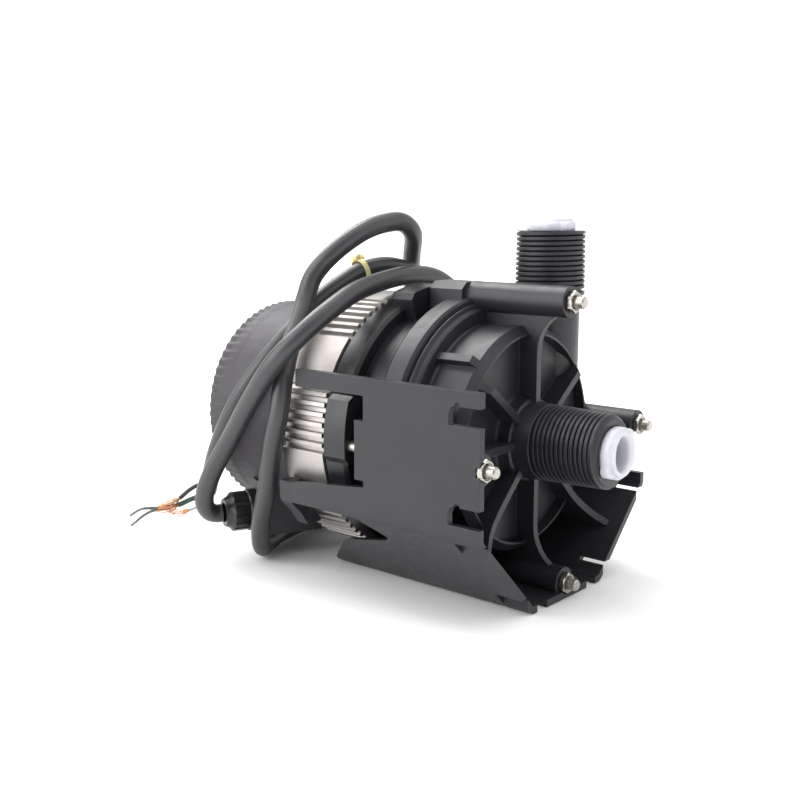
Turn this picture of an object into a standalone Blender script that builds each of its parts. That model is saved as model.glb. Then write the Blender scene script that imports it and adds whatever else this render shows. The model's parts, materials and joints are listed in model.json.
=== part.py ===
"""Spa circulation pump: front moulding with two threaded ports and mounting faces, canned motor, rear cap and lead.

The frame's origin is the centre of the flat base face. +X is to the right seen from the front, +Y runs back
along the pump's axis and +Z is up. Every piece hangs on one empty whose own origin lies on the pump's axis in the
plane of the mounting faces' front edges; inside it, s is the distance behind that plane and r the distance from
the axis. All sizes are in metres.
"""
import math

import bmesh
import bpy
import numpy as np
from mathutils import Matrix, Vector

CLEARANCE = 0.0003

# Mounting faces of the front moulding
BASE_FACE_DROP = 0.0662
SIDE_FACE_REACH = 0.0645
CHAMFER_REACH = 0.0661
FACE_WALL = 0.003
FACE_LENGTH = 0.059
FACE_TOP = 0.0304
RIGHT_RAIL_TOP = -0.016
BEND_RADIUS = 0.005
SLOT_OFFSET = 0.0194
SLOT_WIDTH = 0.0074
SLOT_DEPTH = 0.0151
SLOT_LOBE = 0.0015
SIDE_SLOT_HEIGHTS = (0.0205, -0.0188)
BEND_SLOT_DEPTH = 0.0125
BEND_SLOT_WIDTH = 0.0045
CENTRE_TAB_HALF = 0.0125
CENTRE_TAB_REACH = 0.005
STRAP_BOTTOM = 0.023
STRUT_TOP_FRONT = -0.0152
STRUT_TOP_REAR = -0.0200
STRUT_BOTTOM = -0.0293
ARM_LENGTH = 0.109
STRAP_END = 0.098
FOOT_LENGTH = 0.108
FOOT_NOTCH_APEX = 0.053
FOOT_SHOULDER = 0.087
BASE_WINDOW_HALF = 0.0215
BASE_WINDOW_END = 0.093
CRADLE_WIDTH = 0.0065
CRADLE_DEPTH = 0.007

# Wet end
BOLT_CIRCLE_RADIUS = 0.060
BOSS_RADIUS = 0.0066
BOSS_SETBACK = 0.002
BOLT_RADIUS = 0.0025
PORT_REACH = 0.0195
PORT_PLAIN_LENGTH = 0.0065
PORT_BORE_RADIUS = 0.0098
PORT_MOUTH_CHAMFER = 0.0014
THREAD_MAJOR_RADIUS = 0.0160
THREAD_LENGTH = 0.032
THREAD_DEPTH = 0.0014
COLLAR_RADIUS = 0.018
RIB_SETBACK = 0.017
RIB_THICKNESS = 0.0032
RIB_FLAT_RADIUS = 0.038
RIM_SETBACK = 0.021
RIM_INNER_RADIUS = 0.0455
DRUM_RADIUS = 0.0491
DRUM_WALL = 0.0031
FRONT_RECESS = 0.005
FRONT_WALL = 0.003
CHAMBER_DEPTH = 0.018
STEP_RADIUS = 0.0553
RIDGE_RADIUS = 0.0576
FLANGE_RADIUS = 0.0600
FLANGE_STATION = 0.0478
TIE_BAR_TURN = math.radians(133.2)
TIE_BAR_WIDTH = 0.0036
TIE_BAR_RADIUS = 0.0524
REGISTER_RADIUS = 0.052
DISCHARGE_OFFSET = 0.0365
DISCHARGE_STATION = 0.036
DISCHARGE_TOP = 0.088
DISCHARGE_THREAD_RADIUS = 0.0149
DISCHARGE_THREAD_LENGTH = 0.027
DISCHARGE_NECK_RADIUS = 0.0136
DISCHARGE_THROAT_RADIUS = 0.0083
TOP_BLOCK_HALF = 0.009
TOP_BLOCK_HEIGHT = 0.0663
TOP_BLOCK_LENGTH = 0.0108

# Rotor and the can around it
SHAFT_RADIUS = 0.003
BUSHING_WALL = 0.0026
HUB_WALL = 0.003
MAGNET_RADIUS = 0.0222
MAGNET_LENGTH = 0.038
CAN_WALL = 0.0015
CAN_GAP = 0.001
CAN_FLANGE = 0.0045
CAN_END = 0.002
O_RING_CORD = 0.0022
IMPELLER_RADIUS = 0.031
IMPELLER_EYE_RADIUS = 0.0115
IMPELLER_PLATE = 0.002
VANE_HEIGHT = 0.0066
VANE_THICKNESS = 0.0018
VANE_COUNT = 6
VANE_SWEEP = math.radians(75)
WASHER_THICKNESS = 0.0015
SUPPORT_DEPTH = 0.0055

# Motor
NECK_LENGTH = 0.0157
NECK_RADIUS = 0.0525
MOTOR_RING_RADIUS = 0.059
MOTOR_RING_LENGTH = 0.0122
MOTOR_WALL = 0.004
MOTOR_FRONT_WALL = 0.005
LUG_RADIUS = 0.0643
LUG_LENGTH = 0.012
LUG_STATION = 0.0698
LUG_HALF_ANGLE = math.radians(13.4)
LUG_TURN = math.radians(6.2)
BOLT_HEAD_RADIUS = 0.0039
BOLT_HEAD_LENGTH = 0.0039
BOLT_PROUD = 0.0022
NUT_LENGTH = 0.0044
NUT_CORNER_RADIUS = 0.0046
STATOR_LENGTH = 0.038
STATOR_TEETH = 6
COIL_OVERHANG = 0.0062
COIL_THICKNESS = 0.005
SHELL_RADIUS = 0.0598
SHELL_BORE_RADIUS = 0.050
SHELL_LENGTH = 0.0245
FIN_DEPTH = 0.0022
FIN_PITCH_ANGLE = math.radians(4.25)
FIN_GROUP_FINS = 7
FIN_GROUPS = 7
FIN_GROUP_TURN = math.radians(18.5)
CAP_LENGTH = 0.0587
CAP_FRONT_RADIUS = 0.0535
CAP_REAR_RADIUS = 0.0513
CAP_WALL = 0.003
CAP_SPIGOT = 0.005
RIM_TOOTH_COUNT = 72
RIM_TOOTH_DEPTH = 0.0007
RIM_TOOTH_LENGTH = 0.004
CHAMBER_BOX_LENGTH = 0.030
CHAMBER_BOX_HALF = 0.0105
CHAMBER_BOX_DROP = 0.0556
CAPACITOR_RADIUS = 0.0145
CAPACITOR_LENGTH = 0.036
CAPACITOR_HEIGHT = 0.016
TERMINAL_BLOCK_LENGTH = 0.026
TERMINAL_COUNT = 3

# Gland, plugs and lead
GLAND_CENTRE = (-0.0440, 0.1485, -0.0448)
GLAND_TURN = math.radians(155.2)
GLAND_FLANGE_RADIUS = 0.0100
GLAND_FLANGE_LENGTH = 0.0045
GLAND_NUT_RADIUS = 0.0094
GLAND_NUT_LENGTH = 0.0105
GLAND_NUT_RIBS = 16
GLAND_THREAD_RADIUS = 0.0068
CORD_RADIUS = 0.0044
CORD_REACH = 0.018
WIRE_REACH = 0.005
FINE_STEPS = 12
WIRE_RADIUS = 0.0012
CORE_RADIUS = 0.0006
TIE_PLACE = 56
TIE_WIDTH = 0.0035
TIE_THICKNESS = 0.0011
PLUG_DEPTH = 0.014
PLUG_PROUD = 0.0055
PLUG_FLANGE_RADIUS = 0.0109
PLUG_HOLE_RADIUS = 0.0076
PLUG_WALL = 0.0018
PLUG_EAR = 0.0022

# Stations along the axis and radii that follow from the sizes above
WALL_STATION = RIM_SETBACK + FRONT_RECESS
CHAMBER_STATION = WALL_STATION + FRONT_WALL
SEAT_STATION = CHAMBER_STATION + CHAMBER_DEPTH
CHAMBER_RADIUS = DRUM_RADIUS - DRUM_WALL
CAN_STATION = SEAT_STATION + CLEARANCE
SPIGOT_STATION = CAN_STATION + CAN_FLANGE + CLEARANCE
NECK_STATION = FACE_LENGTH + CLEARANCE
MOTOR_RING_STATION = NECK_STATION + NECK_LENGTH
MOTOR_RING_END = MOTOR_RING_STATION + MOTOR_RING_LENGTH
SHELL_STATION = MOTOR_RING_END + CLEARANCE
SHELL_END = SHELL_STATION + SHELL_LENGTH
CAP_STATION = SHELL_END + CLEARANCE
CAP_END = CAP_STATION + CAP_LENGTH
BUSHING_RADIUS = SHAFT_RADIUS + CLEARANCE + BUSHING_WALL
HUB_BORE_RADIUS = BUSHING_RADIUS + CLEARANCE
HUB_RADIUS = HUB_BORE_RADIUS + HUB_WALL
CAN_BORE_RADIUS = MAGNET_RADIUS + CAN_GAP
CAN_RADIUS = CAN_BORE_RADIUS + CAN_WALL
STATOR_BORE_RADIUS = CAN_RADIUS + 2 * CLEARANCE
MOTOR_BORE_RADIUS = MOTOR_RING_RADIUS - MOTOR_WALL - FACE_WALL * 2
STATOR_RADIUS = MOTOR_BORE_RADIUS - CLEARANCE
STATOR_STATION = SPIGOT_STATION + MOTOR_FRONT_WALL + COIL_OVERHANG + 2 * CLEARANCE
SUPPORT_STATION = WALL_STATION + 0.001 - SUPPORT_DEPTH
WASHER_STATION = SUPPORT_STATION + SUPPORT_DEPTH + CLEARANCE
BUSHING_STATION = WASHER_STATION + WASHER_THICKNESS + CLEARANCE
SHROUD_STATION = CHAMBER_STATION + 0.0028
VANE_STATION = SHROUD_STATION + IMPELLER_PLATE + CLEARANCE
PLATE_STATION = VANE_STATION + VANE_HEIGHT
MAGNET_STATION = STATOR_STATION
MAGNET_END = MAGNET_STATION + MAGNET_LENGTH
CAN_INNER_END = MAGNET_END + 0.0035
BOLT_HEAD_STATION = LUG_STATION + LUG_LENGTH - BOLT_HEAD_LENGTH - CLEARANCE

TURN_STEPS = 56
SMALL_STEPS = 20

COLLECTION_NAME = "spa_circulation_pump"
CUTTER_COLLECTION_NAME = "cutters"


def clear_scene():
    for obj in list(bpy.data.objects):
        bpy.data.objects.remove(obj, do_unlink=True)
    for collection in list(bpy.data.collections):
        bpy.data.collections.remove(collection)


def new_collection(name):
    collection = bpy.data.collections.new(name)
    bpy.context.scene.collection.children.link(collection)
    return collection


clear_scene()
PARTS = new_collection(COLLECTION_NAME)
CUTTERS = new_collection(CUTTER_COLLECTION_NAME)
AXIS = bpy.data.objects.new("pump_axis", None)
AXIS.location = (0, -FACE_LENGTH / 2, BASE_FACE_DROP)
PARTS.objects.link(AXIS)


def material(name, colour, roughness, metallic=0.0):
    mat = bpy.data.materials.new(name)
    mat.use_nodes = True
    shader = mat.node_tree.nodes["Principled BSDF"]
    shader.inputs["Base Color"].default_value = (*colour, 1)
    shader.inputs["Roughness"].default_value = roughness
    shader.inputs["Metallic"].default_value = metallic
    return mat


def smooth(mesh, angle=math.radians(32)):
    mesh.shade_smooth()
    mesh.set_sharp_from_angle(angle=angle)


def add_part(obj, mat, parent=AXIS):
    """Puts a finished sub-part into the part's collection with its material."""
    PARTS.objects.link(obj)
    obj.parent = parent
    obj.data.materials.clear()
    obj.data.materials.append(mat)
    return obj


def add_guide(obj, group, parent=AXIS):
    """Puts a solid that only shapes another one into its own collection, out of sight."""
    group.objects.link(obj)
    obj.parent = parent
    obj.hide_render = True
    obj.display_type = "WIRE"
    return obj


def guide_group(name):
    group = bpy.data.collections.new(name)
    CUTTERS.children.link(group)
    return group


def boolean(obj, operation, group):
    cut = obj.modifiers.new(operation.lower(), "BOOLEAN")
    cut.operation = operation
    cut.solver = "EXACT"
    cut.operand_type = "COLLECTION"
    cut.collection = group
    return cut


def frame_matrix(origin, x_axis, y_axis):
    """The placement whose local X and Y lie along the given directions."""
    x_dir = Vector(x_axis).normalized()
    y_dir = Vector(y_axis).normalized()
    z_dir = x_dir.cross(y_dir)
    matrix = Matrix((x_dir, y_dir, z_dir)).transposed().to_4x4()
    matrix.translation = Vector(origin)
    return matrix


def along_axis(s=0.0):
    """Local Z runs back along the pump's axis from station s."""
    return frame_matrix((0, s, 0), (1, 0, 0), (0, 0, -1))


def across_axis(s):
    """Local X and Y are the pump's X and Z, in the plane of station s."""
    return frame_matrix((0, s, 0), (1, 0, 0), (0, 0, 1))


def radial_plane(angle):
    """Local X is the distance from the axis at this angle above +X, local Y the station."""
    return frame_matrix((0, 0, 0), (math.cos(angle), 0, math.sin(angle)), (0, 1, 0))


def side_plane():
    """Local X is the station and local Y the height."""
    return frame_matrix((0, 0, 0), (0, 1, 0), (0, 0, 1))


def placed(name, bm, matrix):
    mesh = bpy.data.meshes.new(name)
    bmesh.ops.recalc_face_normals(bm, faces=bm.faces)
    bm.to_mesh(mesh)
    bm.free()
    smooth(mesh)
    obj = bpy.data.objects.new(name, mesh)
    obj.matrix_basis = matrix
    return obj


def box(name, low, high, matrix=Matrix()):
    bm = bmesh.new()
    bmesh.ops.create_cube(bm, size=1)
    low = Vector(low)
    high = Vector(high)
    size = high - low
    bmesh.ops.scale(bm, vec=size, verts=bm.verts)
    bmesh.ops.translate(bm, vec=(low + high) / 2, verts=bm.verts)
    return placed(name, bm, matrix)


def rod(name, radius, start, end, matrix, end_radius=None, steps=SMALL_STEPS):
    """A cylinder or cone along local Z from start to end."""
    bm = bmesh.new()
    top = radius if end_radius is None else end_radius
    bmesh.ops.create_cone(bm, cap_ends=True, segments=steps, radius1=radius, radius2=top, depth=end - start)
    bmesh.ops.translate(bm, vec=(0, 0, (start + end) / 2), verts=bm.verts)
    return placed(name, bm, matrix)


def rods(name, radius, start, end, spots, matrix, steps=SMALL_STEPS):
    """Equal cylinders along local Z in one object."""
    bm = bmesh.new()
    for x, y in spots:
        made = bmesh.ops.create_cone(
            bm, cap_ends=True, segments=steps, radius1=radius, radius2=radius, depth=end - start)
        bmesh.ops.translate(bm, vec=(x, y, (start + end) / 2), verts=made["verts"])
    return placed(name, bm, matrix)


def turned(name, profile, matrix, steps=TURN_STEPS, closed=True):
    """A profile of (radius, height) points, outer side from top to bottom, turned about local Z."""
    mesh = bpy.data.meshes.new(name)
    points = [(r, 0, h) for r, h in profile]
    count = len(points)
    edges = [(i, (i + 1) % count) for i in range(count if closed else count - 1)]
    mesh.from_pydata(points, edges, [])
    obj = bpy.data.objects.new(name, mesh)
    obj.matrix_basis = matrix
    screw = obj.modifiers.new("turn", "SCREW")
    screw.axis = "Z"
    screw.angle = math.tau
    screw.steps = steps
    screw.render_steps = steps
    screw.use_merge_vertices = True
    screw.merge_threshold = 0.00001
    screw.use_smooth_shade = True
    return obj


def plate(name, outlines, thickness, matrix, offset=0.0):
    """A flat outline, with holes as further outlines, given a thickness about local Z = offset."""
    curve = bpy.data.curves.new(name, "CURVE")
    curve.dimensions = "2D"
    curve.fill_mode = "BOTH"
    curve.extrude = thickness / 2
    for outline in outlines:
        spline = curve.splines.new("POLY")
        spline.points.add(len(outline) - 1)
        for point, (x, y) in zip(spline.points, outline):
            point.co = (x, y, 0, 1)
        spline.use_cyclic_u = True
    flat = bpy.data.objects.new(name + "_outline", curve)
    bpy.context.scene.collection.objects.link(flat)
    graph = bpy.context.evaluated_depsgraph_get()
    mesh = bpy.data.meshes.new_from_object(flat.evaluated_get(graph))
    bpy.data.objects.remove(flat, do_unlink=True)
    bm = bmesh.new()
    bm.from_mesh(mesh)
    bmesh.ops.remove_doubles(bm, verts=bm.verts, dist=0.000001)
    bmesh.ops.translate(bm, vec=(0, 0, offset), verts=bm.verts)
    bpy.data.meshes.remove(mesh)
    return placed(name, bm, matrix)


def arc(radius, start, end, steps, centre=(0.0, 0.0)):
    """Points on a circle from one angle to another."""
    angles = np.linspace(start, end, steps)
    return [(centre[0] + radius * math.cos(a), centre[1] + radius * math.sin(a)) for a in angles]


def circle(radius, steps=TURN_STEPS, centre=(0.0, 0.0)):
    return arc(radius, 0, math.tau, steps + 1, centre)[:-1]


def bolt_spots():
    """The four bolts: right, top, left and bottom, as X and Z."""
    return [(BOLT_CIRCLE_RADIUS * math.cos(a), BOLT_CIRCLE_RADIUS * math.sin(a))
            for a in (0, math.pi / 2, math.pi, 3 * math.pi / 2)]


def bolt_spots_turned():
    """The bolts' places for a solid whose local Z runs back along the axis."""
    return [(x, -z) for x, z in bolt_spots()]


BLACK = material("black_moulding", (0.022, 0.022, 0.025), 0.42)
CAP_BLACK = material("black_cap", (0.03, 0.03, 0.032), 0.5)
WHITE = material("white_plug", (0.85, 0.86, 0.87), 0.4)
ZINC = material("zinc_steel", (0.75, 0.74, 0.70), 0.3, 1.0)
ALUMINIUM = material("aluminium", (0.78, 0.77, 0.75), 0.35, 1.0)
GREY_CORD = material("grey_cord_jacket", (0.11, 0.11, 0.12), 0.5)
RUBBER = material("seal_rubber", (0.015, 0.015, 0.015), 0.8)
CERAMIC = material("white_ceramic", (0.88, 0.87, 0.84), 0.25)
CARBON = material("bearing_carbon", (0.05, 0.05, 0.055), 0.6)
FERRITE = material("magnet_ferrite", (0.09, 0.09, 0.1), 0.55)
IMPELLER_PLASTIC = material("impeller_plastic", (0.6, 0.6, 0.57), 0.4)
CAN_STEEL = material("can_steel", (0.6, 0.6, 0.6), 0.3, 1.0)
LAMINATION = material("stator_steel", (0.33, 0.34, 0.35), 0.5, 1.0)
COPPER = material("copper", (0.72, 0.30, 0.14), 0.35, 1.0)
CAPACITOR_GREY = material("capacitor_case", (0.35, 0.36, 0.38), 0.45)
TERMINAL_PLASTIC = material("terminal_plastic", (0.7, 0.68, 0.6), 0.5)
TIE_YELLOW = material("yellow_tie", (0.8, 0.62, 0.05), 0.5)
WIRE_BLACK = material("black_wire", (0.05, 0.04, 0.04), 0.5)
WIRE_WHITE = material("white_wire", (0.7, 0.74, 0.73), 0.5)
WIRE_GREEN = material("green_wire", (0.07, 0.16, 0.12), 0.5)


def port_profile(tip, thread_radius, thread_length, plain):
    """The outer side of a threaded port from its root to its tip, its taper one in sixteen; heights fall."""
    taper = thread_length / 32
    root_wide = thread_radius + taper / 2 - THREAD_DEPTH
    root_thin = thread_radius - taper / 2 - THREAD_DEPTH
    top_of_thread = tip + plain + thread_length
    return [(root_wide, top_of_thread), (root_thin, tip + plain),
            (thread_radius - taper / 2 - THREAD_DEPTH / 2, tip + plain - 0.0003),
            (thread_radius - taper / 2 - THREAD_DEPTH / 2, tip + 0.001),
            (thread_radius - taper / 2 - THREAD_DEPTH / 2 - 0.001, tip)]


def casing_body():
    """The turned form: flange, drum, front wall, collar and suction port, solid inside."""
    profile = [
        (0, FACE_LENGTH), (FLANGE_RADIUS - 0.0012, FACE_LENGTH), (FLANGE_RADIUS, FACE_LENGTH - 0.0016),
        (FLANGE_RADIUS, FLANGE_STATION + 0.0009), (FLANGE_RADIUS - 0.0009, FLANGE_STATION),
        (RIDGE_RADIUS - 0.0008, FLANGE_STATION - 0.0004), (RIDGE_RADIUS, FLANGE_STATION - 0.0012),
        (RIDGE_RADIUS, FLANGE_STATION - 0.0020), (STEP_RADIUS + 0.0005, FLANGE_STATION - 0.0026),
        (STEP_RADIUS, FLANGE_STATION - 0.0040), (STEP_RADIUS - 0.0007, FLANGE_STATION - 0.0046),
        (DRUM_RADIUS + 0.0006, FLANGE_STATION - 0.0050), (DRUM_RADIUS, FLANGE_STATION - 0.0058),
        (DRUM_RADIUS, RIM_SETBACK + 0.0035), (RIM_INNER_RADIUS + 0.0005, RIM_SETBACK),
        (RIM_INNER_RADIUS - 0.0004, RIM_SETBACK), (RIM_INNER_RADIUS - 0.001, WALL_STATION),
        (COLLAR_RADIUS + 0.003, WALL_STATION), (COLLAR_RADIUS + 0.0009, WALL_STATION - 0.0009),
        (COLLAR_RADIUS, WALL_STATION - 0.003), (COLLAR_RADIUS, THREAD_LENGTH + PORT_PLAIN_LENGTH - PORT_REACH + 0.0008),
        (COLLAR_RADIUS - 0.0008, THREAD_LENGTH + PORT_PLAIN_LENGTH - PORT_REACH)]
    profile += port_profile(-PORT_REACH, THREAD_MAJOR_RADIUS, THREAD_LENGTH, PORT_PLAIN_LENGTH)
    profile += [(0, -PORT_REACH)]
    return turned("pump_casing", profile, along_axis(), closed=False)


def skirt_path():
    """The mounting faces' outer side across the axis, from the left face's top round to the right rail's top."""
    corner_low = CHAMFER_REACH * math.sqrt(2) - SIDE_FACE_REACH
    corner_side = CHAMFER_REACH * math.sqrt(2) - BASE_FACE_DROP
    corners = [(-SIDE_FACE_REACH, -corner_low), (-corner_side, -BASE_FACE_DROP),
               (corner_side, -BASE_FACE_DROP), (SIDE_FACE_REACH, -corner_low)]
    tangent = BEND_RADIUS * math.tan(math.pi / 8)
    headings = [-math.pi / 2, -math.pi / 4, 0, math.pi / 4, math.pi / 2]
    path = [(-SIDE_FACE_REACH, FACE_TOP)]
    for (x, z), before, after in zip(corners, headings, headings[1:]):
        start = (x - tangent * math.cos(before), z - tangent * math.sin(before))
        centre = (start[0] - BEND_RADIUS * math.sin(before), start[1] + BEND_RADIUS * math.cos(before))
        path += arc(BEND_RADIUS, before - math.pi / 2, after - math.pi / 2, 4, centre)
    path.append((SIDE_FACE_REACH, RIGHT_RAIL_TOP))
    return path


def skirt():
    """The folded plate of the mounting faces, an open strip made FACE_WALL thick towards the axis."""
    path = skirt_path()
    mesh = bpy.data.meshes.new("skirt")
    front = [(x, 0, z) for x, z in path]
    rear = [(x, ARM_LENGTH, z) for x, z in path]
    count = len(path)
    faces = [(i, i + 1, count + i + 1, count + i) for i in range(count - 1)]
    mesh.from_pydata(front + rear, [], faces)
    obj = bpy.data.objects.new("skirt", mesh)
    wall = obj.modifiers.new("wall", "SOLIDIFY")
    wall.thickness = FACE_WALL
    wall.offset = 1
    wall.use_even_offset = True
    return obj


def rib_outline(outer, front, steps=8):
    """A rib between radii COLLAR_RADIUS and outer: flat front edge, then a quarter ellipse out to the front."""
    inner = COLLAR_RADIUS - 0.003
    back = SEAT_STATION - 0.002
    width = outer - RIB_FLAT_RADIUS
    rise = RIB_SETBACK - front
    sweep = [(RIB_FLAT_RADIUS + width * math.sin(a), front + rise * math.cos(a))
             for a in np.linspace(0, math.pi / 2, steps)]
    return [(inner, RIB_SETBACK)] + sweep + [
        (outer, back), (DRUM_RADIUS - 0.001, back), (DRUM_RADIUS - 0.001, WALL_STATION + 0.001),
        (inner, WALL_STATION + 0.001)]


def short_rib_outline():
    """A rib that ends on the drum's rim."""
    inner = COLLAR_RADIUS - 0.003
    outer = DRUM_RADIUS - 0.0012
    return [(inner, RIB_SETBACK), (RIB_FLAT_RADIUS + 0.004, RIB_SETBACK), (outer, RIM_SETBACK + 0.0025),
            (outer, WALL_STATION + 0.001), (inner, WALL_STATION + 0.001)]


def slot_outline(depth, width, lobe):
    """An open-ended slot from the front edge, one corner of its blind end cut off and a small lobe beside it."""
    half = width / 2
    bump = arc(lobe, 0, math.pi, 7)
    return ([(-0.002, -half), (depth - 0.0004, -half), (depth, -half + 0.0005), (depth, 0.0004),
             (depth - 0.0011, half - 0.0008), (depth - 0.0024, half)]
            + [(depth - 0.0043 + x, half + y) for x, y in bump] + [(-0.002, half)])


def casing_additions():
    group = guide_group("casing_additions")
    add_guide(skirt(), group)
    add_guide(rods("bosses", BOSS_RADIUS, BOSS_SETBACK, FACE_LENGTH - 0.0004, bolt_spots_turned(), along_axis()), group)
    to_boss = BOLT_CIRCLE_RADIUS - BOSS_RADIUS + 0.002
    to_chamfer = CHAMFER_REACH - FACE_WALL / 2
    for name, degrees, outer, front in (
            ("rib_right", 0, to_boss, BOSS_SETBACK), ("rib_top", 90, to_boss, BOSS_SETBACK),
            ("rib_left", 180, to_boss, BOSS_SETBACK), ("rib_bottom", 270, to_boss, BOSS_SETBACK),
            ("rib_lower_left", 225, to_chamfer, 0.001), ("rib_lower_right", 315, to_chamfer, 0.001)):
        outline = rib_outline(outer, front)
        add_guide(plate(name, [outline], RIB_THICKNESS, radial_plane(math.radians(degrees))), group)
    for name, degrees in (("rib_upper_left", 142.5), ("rib_upper_right", 37.5)):
        add_guide(plate(name, [short_rib_outline()], RIB_THICKNESS, radial_plane(math.radians(degrees))), group)
    tie_bar = [(DRUM_RADIUS - 0.0008, RIM_SETBACK + 0.0025), (TIE_BAR_RADIUS, RIM_SETBACK + 0.0050),
               (TIE_BAR_RADIUS, FLANGE_STATION - 0.001), (DRUM_RADIUS - 0.0008, FLANGE_STATION - 0.001)]
    add_guide(plate("tie_bar", [tie_bar], TIE_BAR_WIDTH, radial_plane(TIE_BAR_TURN)), group)
    upright = frame_matrix((DISCHARGE_OFFSET, DISCHARGE_STATION, 0), (1, 0, 0), (0, 1, 0))
    thread_foot = DISCHARGE_TOP - DISCHARGE_THREAD_LENGTH
    taper = DISCHARGE_THREAD_LENGTH / 32
    neck = [(0, DISCHARGE_TOP),
            (DISCHARGE_THREAD_RADIUS - THREAD_DEPTH - 0.0006, DISCHARGE_TOP),
            (DISCHARGE_THREAD_RADIUS - THREAD_DEPTH, DISCHARGE_TOP - 0.0008),
            (DISCHARGE_THREAD_RADIUS - THREAD_DEPTH + taper, thread_foot + 0.0005),
            (DISCHARGE_THREAD_RADIUS + taper, thread_foot),
            (DISCHARGE_THREAD_RADIUS + taper, thread_foot - 0.0012),
            (DISCHARGE_NECK_RADIUS, thread_foot - 0.0030),
            (DISCHARGE_NECK_RADIUS, 0.024), (DISCHARGE_NECK_RADIUS - 0.002, 0.0205), (0, 0.0195)]
    add_guide(turned("discharge_neck", neck, upright, steps=36, closed=False), group)
    gusset = [(DISCHARGE_OFFSET + 0.006, 0.030), (DISCHARGE_OFFSET + DISCHARGE_NECK_RADIUS, 0.026),
              (BOLT_CIRCLE_RADIUS + 0.002, 0.004), (BOLT_CIRCLE_RADIUS - 0.002, -0.004), (0.044, -0.004)]
    add_guide(plate("gusset", [gusset], 0.0145, across_axis(0), offset=-0.0372), group)
    block = [(-TOP_BLOCK_HALF, 0.0545), (TOP_BLOCK_HALF, 0.0545), (TOP_BLOCK_HALF, TOP_BLOCK_HEIGHT - 0.003),
             (TOP_BLOCK_HALF - 0.0035, TOP_BLOCK_HEIGHT), (-TOP_BLOCK_HALF + 0.0035, TOP_BLOCK_HEIGHT),
             (-TOP_BLOCK_HALF, TOP_BLOCK_HEIGHT - 0.003)]
    block_start = FACE_LENGTH - 0.0075
    block_end = FACE_LENGTH + TOP_BLOCK_LENGTH - 0.0005
    add_guide(plate("top_block", [block], block_end - block_start, across_axis(0),
                    offset=-(block_start + block_end) / 2), group)
    cradle_inner = SHELL_RADIUS + 0.0011
    cradle = (arc(cradle_inner, math.radians(196), math.radians(222), 8)
              + arc(cradle_inner + CRADLE_DEPTH, math.radians(222), math.radians(196), 8))
    add_guide(plate("cradle", [cradle], CRADLE_WIDTH, across_axis(0), offset=-(ARM_LENGTH - CRADLE_WIDTH / 2)), group)
    return group


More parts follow.
